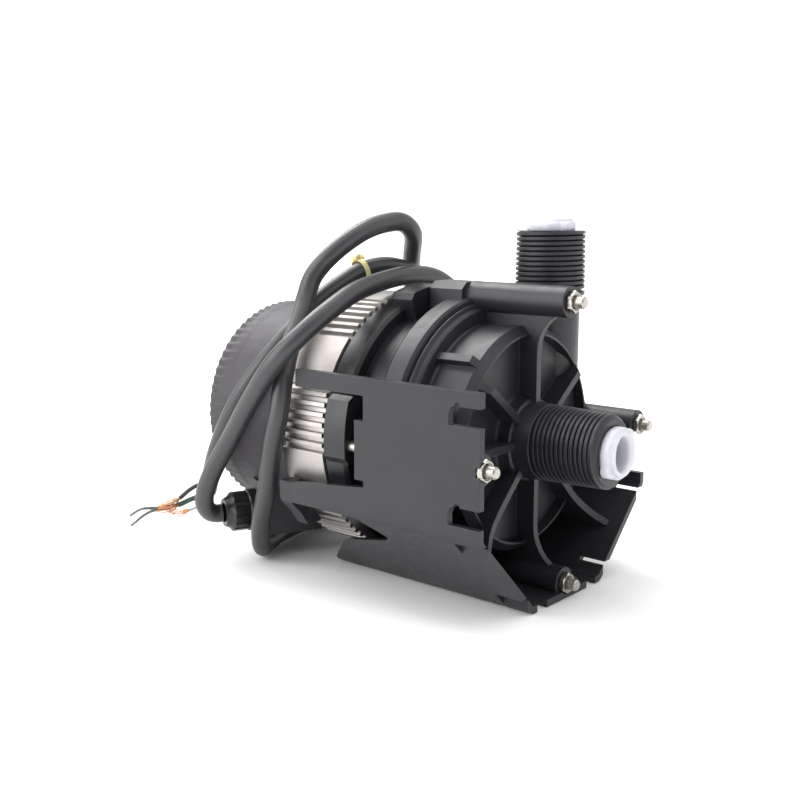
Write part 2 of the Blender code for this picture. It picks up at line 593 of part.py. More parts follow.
def casing_cuts():
    group = guide_group("casing_cuts")
    far = 0.2
    cavity = [
        (0, far), (REGISTER_RADIUS, far), (REGISTER_RADIUS, SEAT_STATION), (CHAMBER_RADIUS, SEAT_STATION),
        (CHAMBER_RADIUS, CHAMBER_STATION), (PORT_BORE_RADIUS + 0.001, CHAMBER_STATION),
        (PORT_BORE_RADIUS, CHAMBER_STATION - 0.001), (PORT_BORE_RADIUS, PORT_MOUTH_CHAMFER - PORT_REACH),
        (PORT_BORE_RADIUS + 2 * PORT_MOUTH_CHAMFER, -PORT_MOUTH_CHAMFER - PORT_REACH), (0, -0.025)]
    add_guide(turned("wet_cavity", cavity, along_axis(), closed=False), group)
    upright = frame_matrix((DISCHARGE_OFFSET, DISCHARGE_STATION, 0), (1, 0, 0), (0, 1, 0))
    bore = [(0, DISCHARGE_TOP + 0.005),
            (PORT_BORE_RADIUS + 2 * PORT_MOUTH_CHAMFER, DISCHARGE_TOP + PORT_MOUTH_CHAMFER),
            (PORT_BORE_RADIUS, DISCHARGE_TOP - PORT_MOUTH_CHAMFER),
            (PORT_BORE_RADIUS, DISCHARGE_TOP - PLUG_DEPTH - 0.002),
            (DISCHARGE_THROAT_RADIUS, DISCHARGE_TOP - PLUG_DEPTH - 0.006),
            (DISCHARGE_THROAT_RADIUS, 0.006), (0, 0.006)]
    add_guide(turned("discharge_bore", bore, upright, steps=28, closed=False), group)
    add_guide(rods("bolt_holes", BOLT_RADIUS + CLEARANCE, -0.01, far, bolt_spots_turned(), along_axis(), steps=16), group)
    add_guide(rods("nut_pockets", NUT_CORNER_RADIUS + CLEARANCE, -0.01, BOSS_SETBACK, bolt_spots_turned(), along_axis()), group)
    add_guide(box("left_plane", (-0.1, -0.01, -0.1), (-SIDE_FACE_REACH, far, 0.1)), group)
    add_guide(box("base_plane", (-0.1, -0.01, -0.1), (0.1, far, -BASE_FACE_DROP)), group)
    # Behind the left face: the window between strap and strut, with the centre tab left standing
    window = [(FACE_LENGTH, STRUT_TOP_FRONT), (FACE_LENGTH, -CENTRE_TAB_HALF),
              (FACE_LENGTH + CENTRE_TAB_REACH, -CENTRE_TAB_HALF), (FACE_LENGTH + CENTRE_TAB_REACH, CENTRE_TAB_HALF),
              (FACE_LENGTH, CENTRE_TAB_HALF), (FACE_LENGTH, STRAP_BOTTOM), (ARM_LENGTH + 0.01, STRAP_BOTTOM),
              (ARM_LENGTH + 0.01, STRUT_TOP_REAR), (ARM_LENGTH - 0.006, STRUT_TOP_REAR)]
    add_guide(plate("left_window", [window], 0.03, side_plane(), offset=-0.066), group)
    strap_end = [(STRAP_END, FACE_TOP + 0.01), (STRAP_END, STRAP_BOTTOM - 0.001),
                 (ARM_LENGTH + 0.01, STRAP_BOTTOM - 0.001), (ARM_LENGTH + 0.01, FACE_TOP + 0.01)]
    add_guide(plate("strap_end", [strap_end], 0.03, side_plane(), offset=-0.066), group)
    foot_top = [(FOOT_SHOULDER + 0.0015, -0.0482), (FOOT_SHOULDER - 0.001, -0.0468), (FOOT_NOTCH_APEX + 0.003, -0.0396)]
    foot_rear = [(ARM_LENGTH + 0.01, -0.0632), (FOOT_LENGTH - 0.0005, -0.0632), (FOOT_LENGTH - 0.003, -0.0610)]
    notch_left = [(FOOT_NOTCH_APEX, -0.0375), (FACE_LENGTH - 0.001, -0.0335), (FACE_LENGTH + CENTRE_TAB_REACH, STRUT_BOTTOM),
                  (ARM_LENGTH - CRADLE_WIDTH, STRUT_BOTTOM), (ARM_LENGTH - CRADLE_WIDTH, -0.0415),
                  (ARM_LENGTH + 0.01, -0.0415)]
    add_guide(plate("foot_notch_left", [notch_left + foot_rear + foot_top], 0.042, side_plane(), offset=-0.049), group)
    notch_right = [(FOOT_NOTCH_APEX, -0.0375), (FACE_LENGTH, -0.0305), (FACE_LENGTH, -0.005), (ARM_LENGTH + 0.01, -0.005)]
    add_guide(plate("foot_notch_right", [notch_right + foot_rear + foot_top], 0.042, side_plane(), offset=0.049), group)
    add_guide(box("foot_end", (-0.1, FOOT_LENGTH, -0.1), (0.1, far, -0.062)), group)
    slot = slot_outline(SLOT_DEPTH, SLOT_WIDTH, SLOT_LOBE)
    for name, height in zip(("upper", "lower"), SIDE_SLOT_HEIGHTS):
        shifted = [(s, h + height) for s, h in slot]
        add_guide(plate("left_slot_" + name, [shifted], 0.012, side_plane(), offset=-SIDE_FACE_REACH), group)
    base_view = frame_matrix((0, 0, -BASE_FACE_DROP), (0, 1, 0), (1, 0, 0))
    for name, side in (("left", -1), ("right", 1)):
        shifted = [(s, side * (SLOT_OFFSET + h)) for s, h in slot]
        add_guide(plate("base_slot_" + name, [shifted], 0.012, base_view), group)
    base_window = [(FACE_LENGTH, -BASE_WINDOW_HALF), (FACE_LENGTH, -CENTRE_TAB_HALF),
                   (FACE_LENGTH + CENTRE_TAB_REACH, -CENTRE_TAB_HALF), (FACE_LENGTH + CENTRE_TAB_REACH, CENTRE_TAB_HALF),
                   (FACE_LENGTH, CENTRE_TAB_HALF), (FACE_LENGTH, BASE_WINDOW_HALF),
                   (BASE_WINDOW_END, BASE_WINDOW_HALF), (BASE_WINDOW_END, -BASE_WINDOW_HALF)]
    add_guide(plate("base_window", [base_window], 0.012, base_view), group)
    # Slots along the bends, and the open corner above the right prong
    bend_high = -(SLOT_OFFSET + SLOT_WIDTH / 2 + 0.0067)
    bend_low = bend_high - BEND_SLOT_WIDTH - 0.0009
    for side in (-1, 1):
        outer = side * 0.08
        edge = side * (CHAMFER_REACH * math.sqrt(2) + bend_low)
        add_guide(box("bend_slot_side", (min(outer, edge), -0.01, bend_low), (max(outer, edge), BEND_SLOT_DEPTH, bend_high)), group)
        reach = sorted((side * -bend_low, side * -bend_high))
        edge_height = -(CHAMFER_REACH * math.sqrt(2) + bend_low)
        add_guide(box("bend_slot_base", (reach[0], -0.01, -0.08), (reach[1], BEND_SLOT_DEPTH, edge_height)), group)
    prong_top = -(SLOT_OFFSET + SLOT_WIDTH / 2)
    add_guide(box("right_prong_step", (0.0575, -0.01, prong_top), (0.08, SLOT_DEPTH, 0.0)), group)
    return group


def make_casing():
    casing = casing_body()
    boolean(casing, "UNION", casing_additions())
    boolean(casing, "DIFFERENCE", casing_cuts())
    add_part(casing, BLACK)


def make_plug(name, matrix):
    """A hollow pull-out plug; local Z points out of the port, with the port's end face at zero."""
    body_radius = PORT_BORE_RADIUS - CLEARANCE
    inner = body_radius - PLUG_WALL
    profile = [
        (PLUG_HOLE_RADIUS, PLUG_PROUD), (PLUG_FLANGE_RADIUS - 0.0012, PLUG_PROUD), (PLUG_FLANGE_RADIUS, PLUG_PROUD - 0.0014),
        (PLUG_FLANGE_RADIUS, CLEARANCE), (body_radius, CLEARANCE), (body_radius, 0.002 - PLUG_DEPTH),
        (body_radius - 0.001, -PLUG_DEPTH), (0, -PLUG_DEPTH), (0, PLUG_WALL - PLUG_DEPTH),
        (inner, PLUG_WALL - PLUG_DEPTH), (PLUG_HOLE_RADIUS, 0)]
    plug = turned(name, profile, matrix, steps=36, closed=True)
    ears = guide_group(name + "_ears")
    for side in (-1, 1):
        turn = matrix @ Matrix.Rotation(math.radians(40), 4, "Z")
        inner_edge = side * (PLUG_FLANGE_RADIUS - 0.002)
        outer_edge = side * (PLUG_FLANGE_RADIUS + PLUG_EAR)
        low = (min(inner_edge, outer_edge), -0.0028, CLEARANCE + 0.0004)
        high = (max(inner_edge, outer_edge), 0.0028, PLUG_PROUD - 0.0018)
        add_guide(box(name + "_ear", low, high, turn), ears)
    boolean(plug, "UNION", ears)
    return add_part(plug, WHITE)


def make_plugs():
    make_plug("suction_plug", frame_matrix((0, -PORT_REACH, 0), (1, 0, 0), (0, 0, 1)))
    make_plug("discharge_plug", frame_matrix((DISCHARGE_OFFSET, DISCHARGE_STATION, DISCHARGE_TOP), (1, 0, 0), (0, 1, 0)))


def make_fasteners():
    """Hexagon nuts at the front of the bosses, and the bolts whose heads sit in the motor ring's lugs."""
    nut_end = BOSS_SETBACK - CLEARANCE
    hexagon = arc(NUT_CORNER_RADIUS, math.radians(30), math.radians(390), 7)[:-1]
    nut = plate("hex_nut", [hexagon, circle(BOLT_RADIUS + CLEARANCE, 16)], NUT_LENGTH, across_axis(0),
                offset=-(nut_end - NUT_LENGTH / 2))
    bolt_end = nut_end - NUT_LENGTH - BOLT_PROUD
    head_end = BOLT_HEAD_STATION + BOLT_HEAD_LENGTH
    profile = [(0, head_end), (BOLT_HEAD_RADIUS - 0.0006, head_end), (BOLT_HEAD_RADIUS, head_end - 0.0008),
               (BOLT_HEAD_RADIUS, BOLT_HEAD_STATION), (BOLT_RADIUS, BOLT_HEAD_STATION),
               (BOLT_RADIUS, bolt_end + 0.0007), (BOLT_RADIUS - 0.0006, bolt_end), (0, bolt_end)]
    bolt = turned("through_bolt", profile, along_axis(), steps=16, closed=False)
    for side, (x, z) in zip(("right", "top", "left", "bottom"), bolt_spots()):
        for master in (nut, bolt):
            piece = master.copy()
            piece.name = f"{master.name}_{side}"
            piece.matrix_basis = Matrix.Translation((x, 0, z)) @ master.matrix_basis
            PARTS.objects.link(piece)
            piece.parent = AXIS
    for master in (nut, bolt):
        master.data.materials.append(ZINC)
        bpy.data.objects.remove(master)


def lug_outline(centre):
    """A lug of the motor ring, its ends rounded, seen across the axis."""
    start = centre - LUG_HALF_ANGLE
    end = centre + LUG_HALF_ANGLE
    inner = NECK_RADIUS - 0.0012
    soft = math.radians(2.6)
    return (arc(inner, start, end, 6) + [(LUG_RADIUS * 0.965 * math.cos(end), LUG_RADIUS * 0.965 * math.sin(end))]
            + arc(LUG_RADIUS, end - soft, start + soft, 8)
            + [(LUG_RADIUS * 0.965 * math.cos(start), LUG_RADIUS * 0.965 * math.sin(start))])


def make_motor_flange():
    """The black ring between wet end and aluminium shell: spigot, neck, lugged ring, hollow behind its front wall."""
    spigot_radius = REGISTER_RADIUS - CLEARANCE
    profile = [
        (MOTOR_BORE_RADIUS, MOTOR_RING_END), (MOTOR_RING_RADIUS - 0.0008, MOTOR_RING_END), (MOTOR_RING_RADIUS, MOTOR_RING_END - 0.0008),
        (MOTOR_RING_RADIUS, MOTOR_RING_STATION + 0.0015), (MOTOR_RING_RADIUS - 0.0015, MOTOR_RING_STATION),
        (NECK_RADIUS, MOTOR_RING_STATION), (NECK_RADIUS, NECK_STATION), (spigot_radius, NECK_STATION),
        (spigot_radius, SPIGOT_STATION), (STATOR_BORE_RADIUS, SPIGOT_STATION),
        (STATOR_BORE_RADIUS, SPIGOT_STATION + MOTOR_FRONT_WALL), (MOTOR_BORE_RADIUS, SPIGOT_STATION + MOTOR_FRONT_WALL)]
    flange = turned("motor_flange", profile, along_axis())
    lugs = guide_group("motor_lugs")
    for degrees, turn in ((0, 1), (90, 1), (180, -1), (270, -1)):
        outline = lug_outline(math.radians(degrees) + turn * LUG_TURN)
        add_guide(plate("lug", [outline], LUG_LENGTH, across_axis(0), offset=-(LUG_STATION + LUG_LENGTH / 2)), lugs)
    boolean(flange, "UNION", lugs)
    holes = guide_group("motor_holes")
    add_guide(rods("lug_holes", BOLT_RADIUS + CLEARANCE, LUG_STATION - 0.005, BOLT_HEAD_STATION, bolt_spots_turned(),
                   along_axis(), steps=16), holes)
    add_guide(rods("head_pockets", BOLT_HEAD_RADIUS + CLEARANCE, BOLT_HEAD_STATION - CLEARANCE, MOTOR_RING_END + 0.01,
                   bolt_spots_turned(), along_axis(), steps=16), holes)
    boolean(flange, "DIFFERENCE", holes)
    add_part(flange, BLACK)


def fin_outline():
    """The extruded shell: groups of rectangular fins between smooth pads of equal radius."""
    points = []
    group_angle = math.tau / FIN_GROUPS
    valley = SHELL_RADIUS - FIN_DEPTH
    for group in range(FIN_GROUPS):
        centre = group * group_angle + FIN_GROUP_TURN
        start = centre - FIN_GROUP_FINS * FIN_PITCH_ANGLE / 2
        for fin in range(FIN_GROUP_FINS):
            a = start + fin * FIN_PITCH_ANGLE
            points += [(radius * math.cos(a + share * FIN_PITCH_ANGLE), radius * math.sin(a + share * FIN_PITCH_ANGLE))
                       for radius, share in ((SHELL_RADIUS, 0), (valley, 0.09), (valley, 0.51), (SHELL_RADIUS, 0.60))]
        end = start + FIN_GROUP_FINS * FIN_PITCH_ANGLE
        points += arc(SHELL_RADIUS, end, start + group_angle, 5)[:-1]
    return points


def make_motor_shell():
    outline = fin_outline()
    shell = plate("motor_shell", [outline, circle(SHELL_BORE_RADIUS)], SHELL_LENGTH, across_axis(0),
                  offset=-(SHELL_STATION + SHELL_LENGTH / 2))
    add_part(shell, ALUMINIUM)


def gland_matrix():
    """Local Z runs out along the gland from the terminal chamber's wall."""
    out = (math.cos(GLAND_TURN), math.sin(GLAND_TURN), 0)
    return frame_matrix(GLAND_CENTRE, (0, 0, 1), (math.sin(GLAND_TURN), -math.cos(GLAND_TURN), 0)), out


def make_rear_cap():
    """The screwed-on cap: drafted wall, toothed rim, and the terminal chamber with the gland's hole below it."""
    spigot_radius = SHELL_BORE_RADIUS - CLEARANCE
    outer = [
        (0, CAP_END), (CAP_REAR_RADIUS - 0.004, CAP_END), (CAP_REAR_RADIUS - 0.001, CAP_END - 0.001), (CAP_REAR_RADIUS, CAP_END - 0.003),
        (CAP_FRONT_RADIUS, CAP_STATION + 0.001), (CAP_FRONT_RADIUS - 0.0008, CAP_STATION), (spigot_radius, CAP_STATION),
        (spigot_radius, CAP_STATION - CAP_SPIGOT), (0, CAP_STATION - CAP_SPIGOT)]
    cap = turned("rear_cap", outer, along_axis(), steps=RIM_TOOTH_COUNT, closed=False)
    matrix, out = gland_matrix()
    chamber = guide_group("terminal_chamber")
    top = -0.030 - GLAND_CENTRE[2]
    bottom = -CHAMBER_BOX_DROP - GLAND_CENTRE[2]
    add_guide(box("chamber_box", (bottom, -CHAMBER_BOX_HALF, -CHAMBER_BOX_LENGTH), (top, CHAMBER_BOX_HALF, 0), matrix), chamber)
    boolean(cap, "UNION", chamber)
    cuts = guide_group("cap_cuts")
    inner_rear = CAP_END - CAP_WALL
    cavity = [
        (0, inner_rear), (CAP_REAR_RADIUS - CAP_WALL - 0.002, inner_rear), (CAP_REAR_RADIUS - CAP_WALL, inner_rear - 0.002),
        (spigot_radius - CAP_WALL, CAP_STATION), (spigot_radius - CAP_WALL, CAP_STATION - CAP_SPIGOT - 0.01),
        (0, CAP_STATION - CAP_SPIGOT - 0.01)]
    add_guide(turned("cap_cavity", cavity, along_axis(), steps=48, closed=False), cuts)
    wall = CAP_WALL * 0.85
    add_guide(box("chamber_cavity", (bottom + wall, -CHAMBER_BOX_HALF + wall, wall - CHAMBER_BOX_LENGTH),
                  (top + 0.001, CHAMBER_BOX_HALF - wall, -wall), matrix), cuts)
    add_guide(rod("gland_hole", GLAND_THREAD_RADIUS + CLEARANCE, -0.008, 0.01, matrix), cuts)
    teeth = [(math.tau * (i + 0.5) / RIM_TOOTH_COUNT) for i in range(RIM_TOOTH_COUNT)]
    notch_radius = CAP_REAR_RADIUS * math.pi / RIM_TOOTH_COUNT * 0.55
    spots = [((CAP_REAR_RADIUS - RIM_TOOTH_DEPTH + notch_radius) * math.cos(a),
              (CAP_REAR_RADIUS - RIM_TOOTH_DEPTH + notch_radius) * math.sin(a)) for a in teeth]
    add_guide(rods("rim_notches", notch_radius, CAP_END - RIM_TOOTH_LENGTH, CAP_END + 0.002, spots, along_axis(), steps=6), cuts)
    boolean(cap, "DIFFERENCE", cuts)
    add_part(cap, CAP_BLACK)


def make_gland():
    matrix = gland_matrix()[0]
    cord_bore = CORD_RADIUS + CLEARANCE
    flange_end = CLEARANCE + GLAND_FLANGE_LENGTH
    thread_end = flange_end + 0.0065
    body = [
        (cord_bore, thread_end), (GLAND_THREAD_RADIUS, thread_end), (GLAND_THREAD_RADIUS, flange_end),
        (GLAND_FLANGE_RADIUS - 0.0006, flange_end),
        (GLAND_FLANGE_RADIUS, flange_end - 0.0006), (GLAND_FLANGE_RADIUS, CLEARANCE), (GLAND_THREAD_RADIUS, CLEARANCE),
        (GLAND_THREAD_RADIUS, -0.006), (cord_bore, -0.006)]
    add_part(turned("gland_body", body, matrix, steps=24), BLACK)
    nut_start = flange_end + CLEARANCE
    nut_end = nut_start + GLAND_NUT_LENGTH
    hollow = GLAND_THREAD_RADIUS + CLEARANCE
    nut = [
        (cord_bore, nut_end), (CORD_RADIUS + 0.0022, nut_end), (GLAND_NUT_RADIUS - 0.0018, nut_end - 0.0022),
        (GLAND_NUT_RADIUS, nut_end - 0.0036), (GLAND_NUT_RADIUS, nut_start), (hollow, nut_start),
        (hollow, thread_end + CLEARANCE), (cord_bore, thread_end + CLEARANCE + 0.0012)]
    gland_nut = turned("gland_nut", nut, matrix, steps=GLAND_NUT_RIBS * 2)
    cuts = guide_group("nut_flutes")
    flute = 0.0009
    spots = [((GLAND_NUT_RADIUS + 0.0002) * math.cos(a), (GLAND_NUT_RADIUS + 0.0002) * math.sin(a))
             for a in np.arange(GLAND_NUT_RIBS) * math.tau / GLAND_NUT_RIBS]
    add_guide(rods("flutes", flute, nut_start - 0.001, nut_end - 0.0035, spots, matrix, steps=6), cuts)
    boolean(gland_nut, "DIFFERENCE", cuts)
    add_part(gland_nut, BLACK)


def vane_outline(turn):
    """A backward-swept vane: its mean line turns by VANE_SWEEP as the radius grows evenly."""
    inner = IMPELLER_EYE_RADIUS - 0.001
    outer = IMPELLER_RADIUS - 0.0004
    mean = []
    for t in np.linspace(0, 1, 9):
        radius = inner + (outer - inner) * t
        angle = turn - VANE_SWEEP * t
        mean.append(Vector((radius * math.cos(angle), radius * math.sin(angle))))
    left = []
    right = []
    for i, point in enumerate(mean):
        ahead = mean[min(i + 1, len(mean) - 1)]
        behind = mean[max(i - 1, 0)]
        direction = (ahead - behind).normalized()
        side = Vector((-direction.y, direction.x)) * VANE_THICKNESS / 2
        left.append(tuple(point + side))
        right.append(tuple(point - side))
    return left + right[::-1]


def make_rotor():
    plate_end = PLATE_STATION + IMPELLER_PLATE
    hub_end = MAGNET_END
    profile = [
        (HUB_BORE_RADIUS, hub_end), (HUB_RADIUS, hub_end), (HUB_RADIUS, plate_end + 0.0015), (HUB_RADIUS + 0.0015, plate_end),
        (IMPELLER_RADIUS, plate_end), (IMPELLER_RADIUS, PLATE_STATION), (HUB_RADIUS, PLATE_STATION),
        (HUB_BORE_RADIUS + 0.0012, BUSHING_STATION + 0.0012), (HUB_BORE_RADIUS, BUSHING_STATION + 0.0012)]
    impeller = turned("impeller", profile, along_axis(), steps=40)
    vanes = guide_group("impeller_vanes")
    for index in range(VANE_COUNT):
        outline = vane_outline(math.tau * index / VANE_COUNT)
        add_guide(plate("vane", [outline], VANE_HEIGHT + 0.001, across_axis(0),
                        offset=-(VANE_STATION + (VANE_HEIGHT + 0.001) / 2)), vanes)
    boolean(impeller, "UNION", vanes)
    add_part(impeller, IMPELLER_PLASTIC)
    shroud_end = SHROUD_STATION + IMPELLER_PLATE
    collar = CHAMBER_STATION + 0.0006
    shroud = [
        (IMPELLER_EYE_RADIUS, shroud_end), (IMPELLER_RADIUS, shroud_end), (IMPELLER_RADIUS, SHROUD_STATION + 0.0004),
        (IMPELLER_EYE_RADIUS + 0.003, SHROUD_STATION), (IMPELLER_EYE_RADIUS + 0.0016, collar), (IMPELLER_EYE_RADIUS, collar)]
    add_part(turned("impeller_shroud", shroud, along_axis(), steps=40), IMPELLER_PLASTIC)
    magnet_bore = HUB_RADIUS + CLEARANCE
    magnet = [
        (magnet_bore, MAGNET_END), (MAGNET_RADIUS - 0.0006, MAGNET_END), (MAGNET_RADIUS, MAGNET_END - 0.0006),
        (MAGNET_RADIUS, MAGNET_STATION + 0.0006), (MAGNET_RADIUS - 0.0006, MAGNET_STATION), (magnet_bore, MAGNET_STATION)]
    add_part(turned("rotor_magnet", magnet, along_axis(), steps=40), FERRITE)
    bushing_bore = SHAFT_RADIUS + CLEARANCE
    bushing_end = MAGNET_END
    bushing = [(bushing_bore, bushing_end), (BUSHING_RADIUS, bushing_end), (BUSHING_RADIUS, BUSHING_STATION),
               (bushing_bore, BUSHING_STATION)]
    add_part(turned("shaft_bushing", bushing, along_axis(), steps=24), CARBON)


def make_wet_end_inside():
    hub_bore = SHAFT_RADIUS + CLEARANCE
    hub_radius = hub_bore + 0.0022
    support_end = SUPPORT_STATION + SUPPORT_DEPTH
    hub = [(0, SUPPORT_STATION - 0.0015), (hub_radius - 0.0015, SUPPORT_STATION - 0.0008), (hub_radius, SUPPORT_STATION + 0.001),
           (hub_radius, support_end), (hub_bore, support_end), (hub_bore, SUPPORT_STATION + 0.0012), (0, SUPPORT_STATION + 0.0012)]
    support = turned("shaft_support", hub[::-1], along_axis(), steps=24, closed=False)
    pieces = guide_group("support_arms")
    ring_radius = PORT_BORE_RADIUS - CLEARANCE
    ring = [(ring_radius - 0.0012, support_end - 0.001), (ring_radius, support_end - 0.001), (ring_radius, SUPPORT_STATION + 0.0005),
            (ring_radius - 0.0012, SUPPORT_STATION + 0.0005)]
    add_guide(turned("support_ring", ring, along_axis(), steps=36), pieces)
    for index in range(3):
        arm = [(hub_bore + 0.0008, SUPPORT_STATION + 0.001), (ring_radius - 0.0005, SUPPORT_STATION + 0.001),
               (ring_radius - 0.0005, support_end - 0.0015), (hub_bore + 0.0008, support_end - 0.0015)]
        angle = math.radians(30 + 120 * index)
        add_guide(plate("support_arm", [arm], 0.0016, radial_plane(angle)), pieces)
    boolean(support, "UNION", pieces)
    add_part(support, IMPELLER_PLASTIC)
    shaft_start = SUPPORT_STATION + 0.0012 + CLEARANCE
    shaft_end = CAN_INNER_END - CLEARANCE
    add_part(rod("shaft", SHAFT_RADIUS, shaft_start, shaft_end, along_axis(), steps=24), CERAMIC)
    washer_end = WASHER_STATION + WASHER_THICKNESS
    washer = [(hub_bore, washer_end), (BUSHING_RADIUS, washer_end), (BUSHING_RADIUS, WASHER_STATION), (hub_bore, WASHER_STATION)]
    add_part(turned("thrust_washer", washer, along_axis(), steps=24), CERAMIC)
    flange_radius = REGISTER_RADIUS - CLEARANCE
    groove_floor = CAN_STATION + O_RING_CORD + CLEARANCE
    groove_radius = CHAMBER_RADIUS + 0.0019
    flange_end = CAN_STATION + CAN_FLANGE
    socket_start = MAGNET_END + CLEARANCE
    can = [
        (0, CAN_INNER_END + CAN_END), (CAN_RADIUS - 0.002, CAN_INNER_END + CAN_END), (CAN_RADIUS, CAN_INNER_END),
        (CAN_RADIUS, flange_end), (flange_radius, flange_end), (flange_radius, groove_floor), (groove_radius, groove_floor),
        (groove_radius, CAN_STATION), (CAN_BORE_RADIUS + 0.0015, CAN_STATION), (CAN_BORE_RADIUS, CAN_STATION + 0.0015),
        (CAN_BORE_RADIUS, CAN_INNER_END), (BUSHING_RADIUS, CAN_INNER_END), (BUSHING_RADIUS, socket_start),
        (hub_bore, socket_start), (hub_bore, CAN_INNER_END), (0, CAN_INNER_END)]
    add_part(turned("separation_can", can, along_axis(), steps=36, closed=False), CAN_STEEL)
    ring_cord = O_RING_CORD / 2
    ring_centre = (groove_radius + flange_radius) / 2
    ring_station = SEAT_STATION + CLEARANCE + ring_cord
    seal = arc(ring_cord, 0, -math.tau, 9, (ring_centre, ring_station))[:-1]
    add_part(turned("casing_o_ring", seal, along_axis(), steps=36), RUBBER)


def make_stator():
    """A toothed lamination stack with one coil on every tooth."""
    slot_outer = STATOR_RADIUS - 0.006
    shoe = STATOR_BORE_RADIUS + 0.0022
    tooth_half = 0.0045
    bore = []
    tooth_pitch = math.tau / STATOR_TEETH
    for index in range(STATOR_TEETH):
        centre = index * tooth_pitch
        shoe_half = tooth_pitch / 2 - 0.05
        bore += arc(STATOR_BORE_RADIUS, centre - shoe_half, centre + shoe_half, 7)
        bore.append((shoe * math.cos(centre + shoe_half), shoe * math.sin(centre + shoe_half)))
        neck = math.asin(tooth_half / shoe)
        bore.append((shoe * math.cos(centre + neck), shoe * math.sin(centre + neck)))
        foot = math.asin(tooth_half / slot_outer)
        bore += arc(slot_outer, centre + foot, centre + tooth_pitch - foot, 5)
        bore.append((shoe * math.cos(centre + tooth_pitch - neck), shoe * math.sin(centre + tooth_pitch - neck)))
        bore.append((shoe * math.cos(centre + tooth_pitch - shoe_half), shoe * math.sin(centre + tooth_pitch - shoe_half)))
    core = plate("stator_core", [circle(STATOR_RADIUS), bore], STATOR_LENGTH, across_axis(0),
                 offset=-(STATOR_STATION + STATOR_LENGTH / 2))
    add_part(core, LAMINATION)
    inner_half = tooth_half + CLEARANCE
    outer_half = inner_half + COIL_THICKNESS
    half = STATOR_LENGTH / 2
    bevel = COIL_THICKNESS * 0.6
    outer_end = half + COIL_OVERHANG
    ring = [(outer_half, outer_end - bevel), (outer_half - bevel, outer_end), (bevel - outer_half, outer_end),
            (-outer_half, outer_end - bevel), (-outer_half, bevel - outer_end), (bevel - outer_half, -outer_end),
            (outer_half - bevel, -outer_end), (outer_half, bevel - outer_end)]
    hole_end = half + CLEARANCE
    hole = [(inner_half, hole_end), (-inner_half, hole_end), (-inner_half, -hole_end), (inner_half, -hole_end)]
    low = shoe + 0.0015
    high = slot_outer - 0.0022
    middle = STATOR_STATION + half
    face = frame_matrix((0, middle, 0), (0, 0, 1), (0, 1, 0))
    coil = plate("stator_coil", [ring, hole], high - low, face)
    coil.data.materials.append(COPPER)
    for index in range(STATOR_TEETH):
        piece = coil.copy()
        piece.name = f"stator_coil_{index + 1}"
        outward = Matrix.Translation((0, 0, -(low + high) / 2))
        piece.matrix_basis = Matrix.Rotation(index * tooth_pitch, 4, "Y") @ face @ outward
        PARTS.objects.link(piece)
        piece.parent = AXIS
    bpy.data.objects.remove(coil)


def make_electrics():
    """Capacitor and terminal block behind the stator, in the rear cap."""
    seat = CAP_END - CAP_WALL - CLEARANCE
    holder_floor = seat - 0.002
    end = holder_floor - CLEARANCE
    start = end - CAPACITOR_LENGTH
    matrix = frame_matrix((0, 0, CAPACITOR_HEIGHT), (1, 0, 0), (0, 0, -1))
    case = [(0, end), (CAPACITOR_RADIUS - 0.001, end), (CAPACITOR_RADIUS, end - 0.001),
            (CAPACITOR_RADIUS, start + 0.001), (CAPACITOR_RADIUS - 0.001, start), (0, start)]
    add_part(turned("run_capacitor", case, matrix, steps=28, closed=False), CAPACITOR_GREY)
    cup_bore = CAPACITOR_RADIUS + CLEARANCE
    cup_radius = cup_bore + 0.002
    cup = [(0, seat), (cup_radius, seat), (cup_radius, holder_floor - 0.008), (cup_bore, holder_floor - 0.008),
           (cup_bore, holder_floor), (0, holder_floor)]
    add_part(turned("capacitor_holder", cup, matrix, steps=28, closed=False), TERMINAL_PLASTIC)
    block_low = -0.028
    block_high = -0.015
    half = TERMINAL_BLOCK_LENGTH / 2
    block = box("terminal_block", (-half, seat - 0.018, block_low), (half, seat, block_high))
    holes = guide_group("terminal_holes")
    pitch = TERMINAL_BLOCK_LENGTH / TERMINAL_COUNT
    for index in range(TERMINAL_COUNT):
        x = (index - (TERMINAL_COUNT - 1) / 2) * pitch
        well = frame_matrix((x, seat - 0.009, 0), (1, 0, 0), (0, 1, 0))
        add_guide(rod("terminal_well", 0.0026, block_high - 0.006, block_high + 0.01, well, steps=12), holes)
        entry = frame_matrix((x, 0, block_low + 0.004), (1, 0, 0), (0, 0, -1))
        add_guide(rod("wire_entry", 0.0022, seat - 0.03, seat - 0.010, entry, steps=10), holes)
    boolean(block, "DIFFERENCE", holes)
    add_part(block, TERMINAL_PLASTIC)


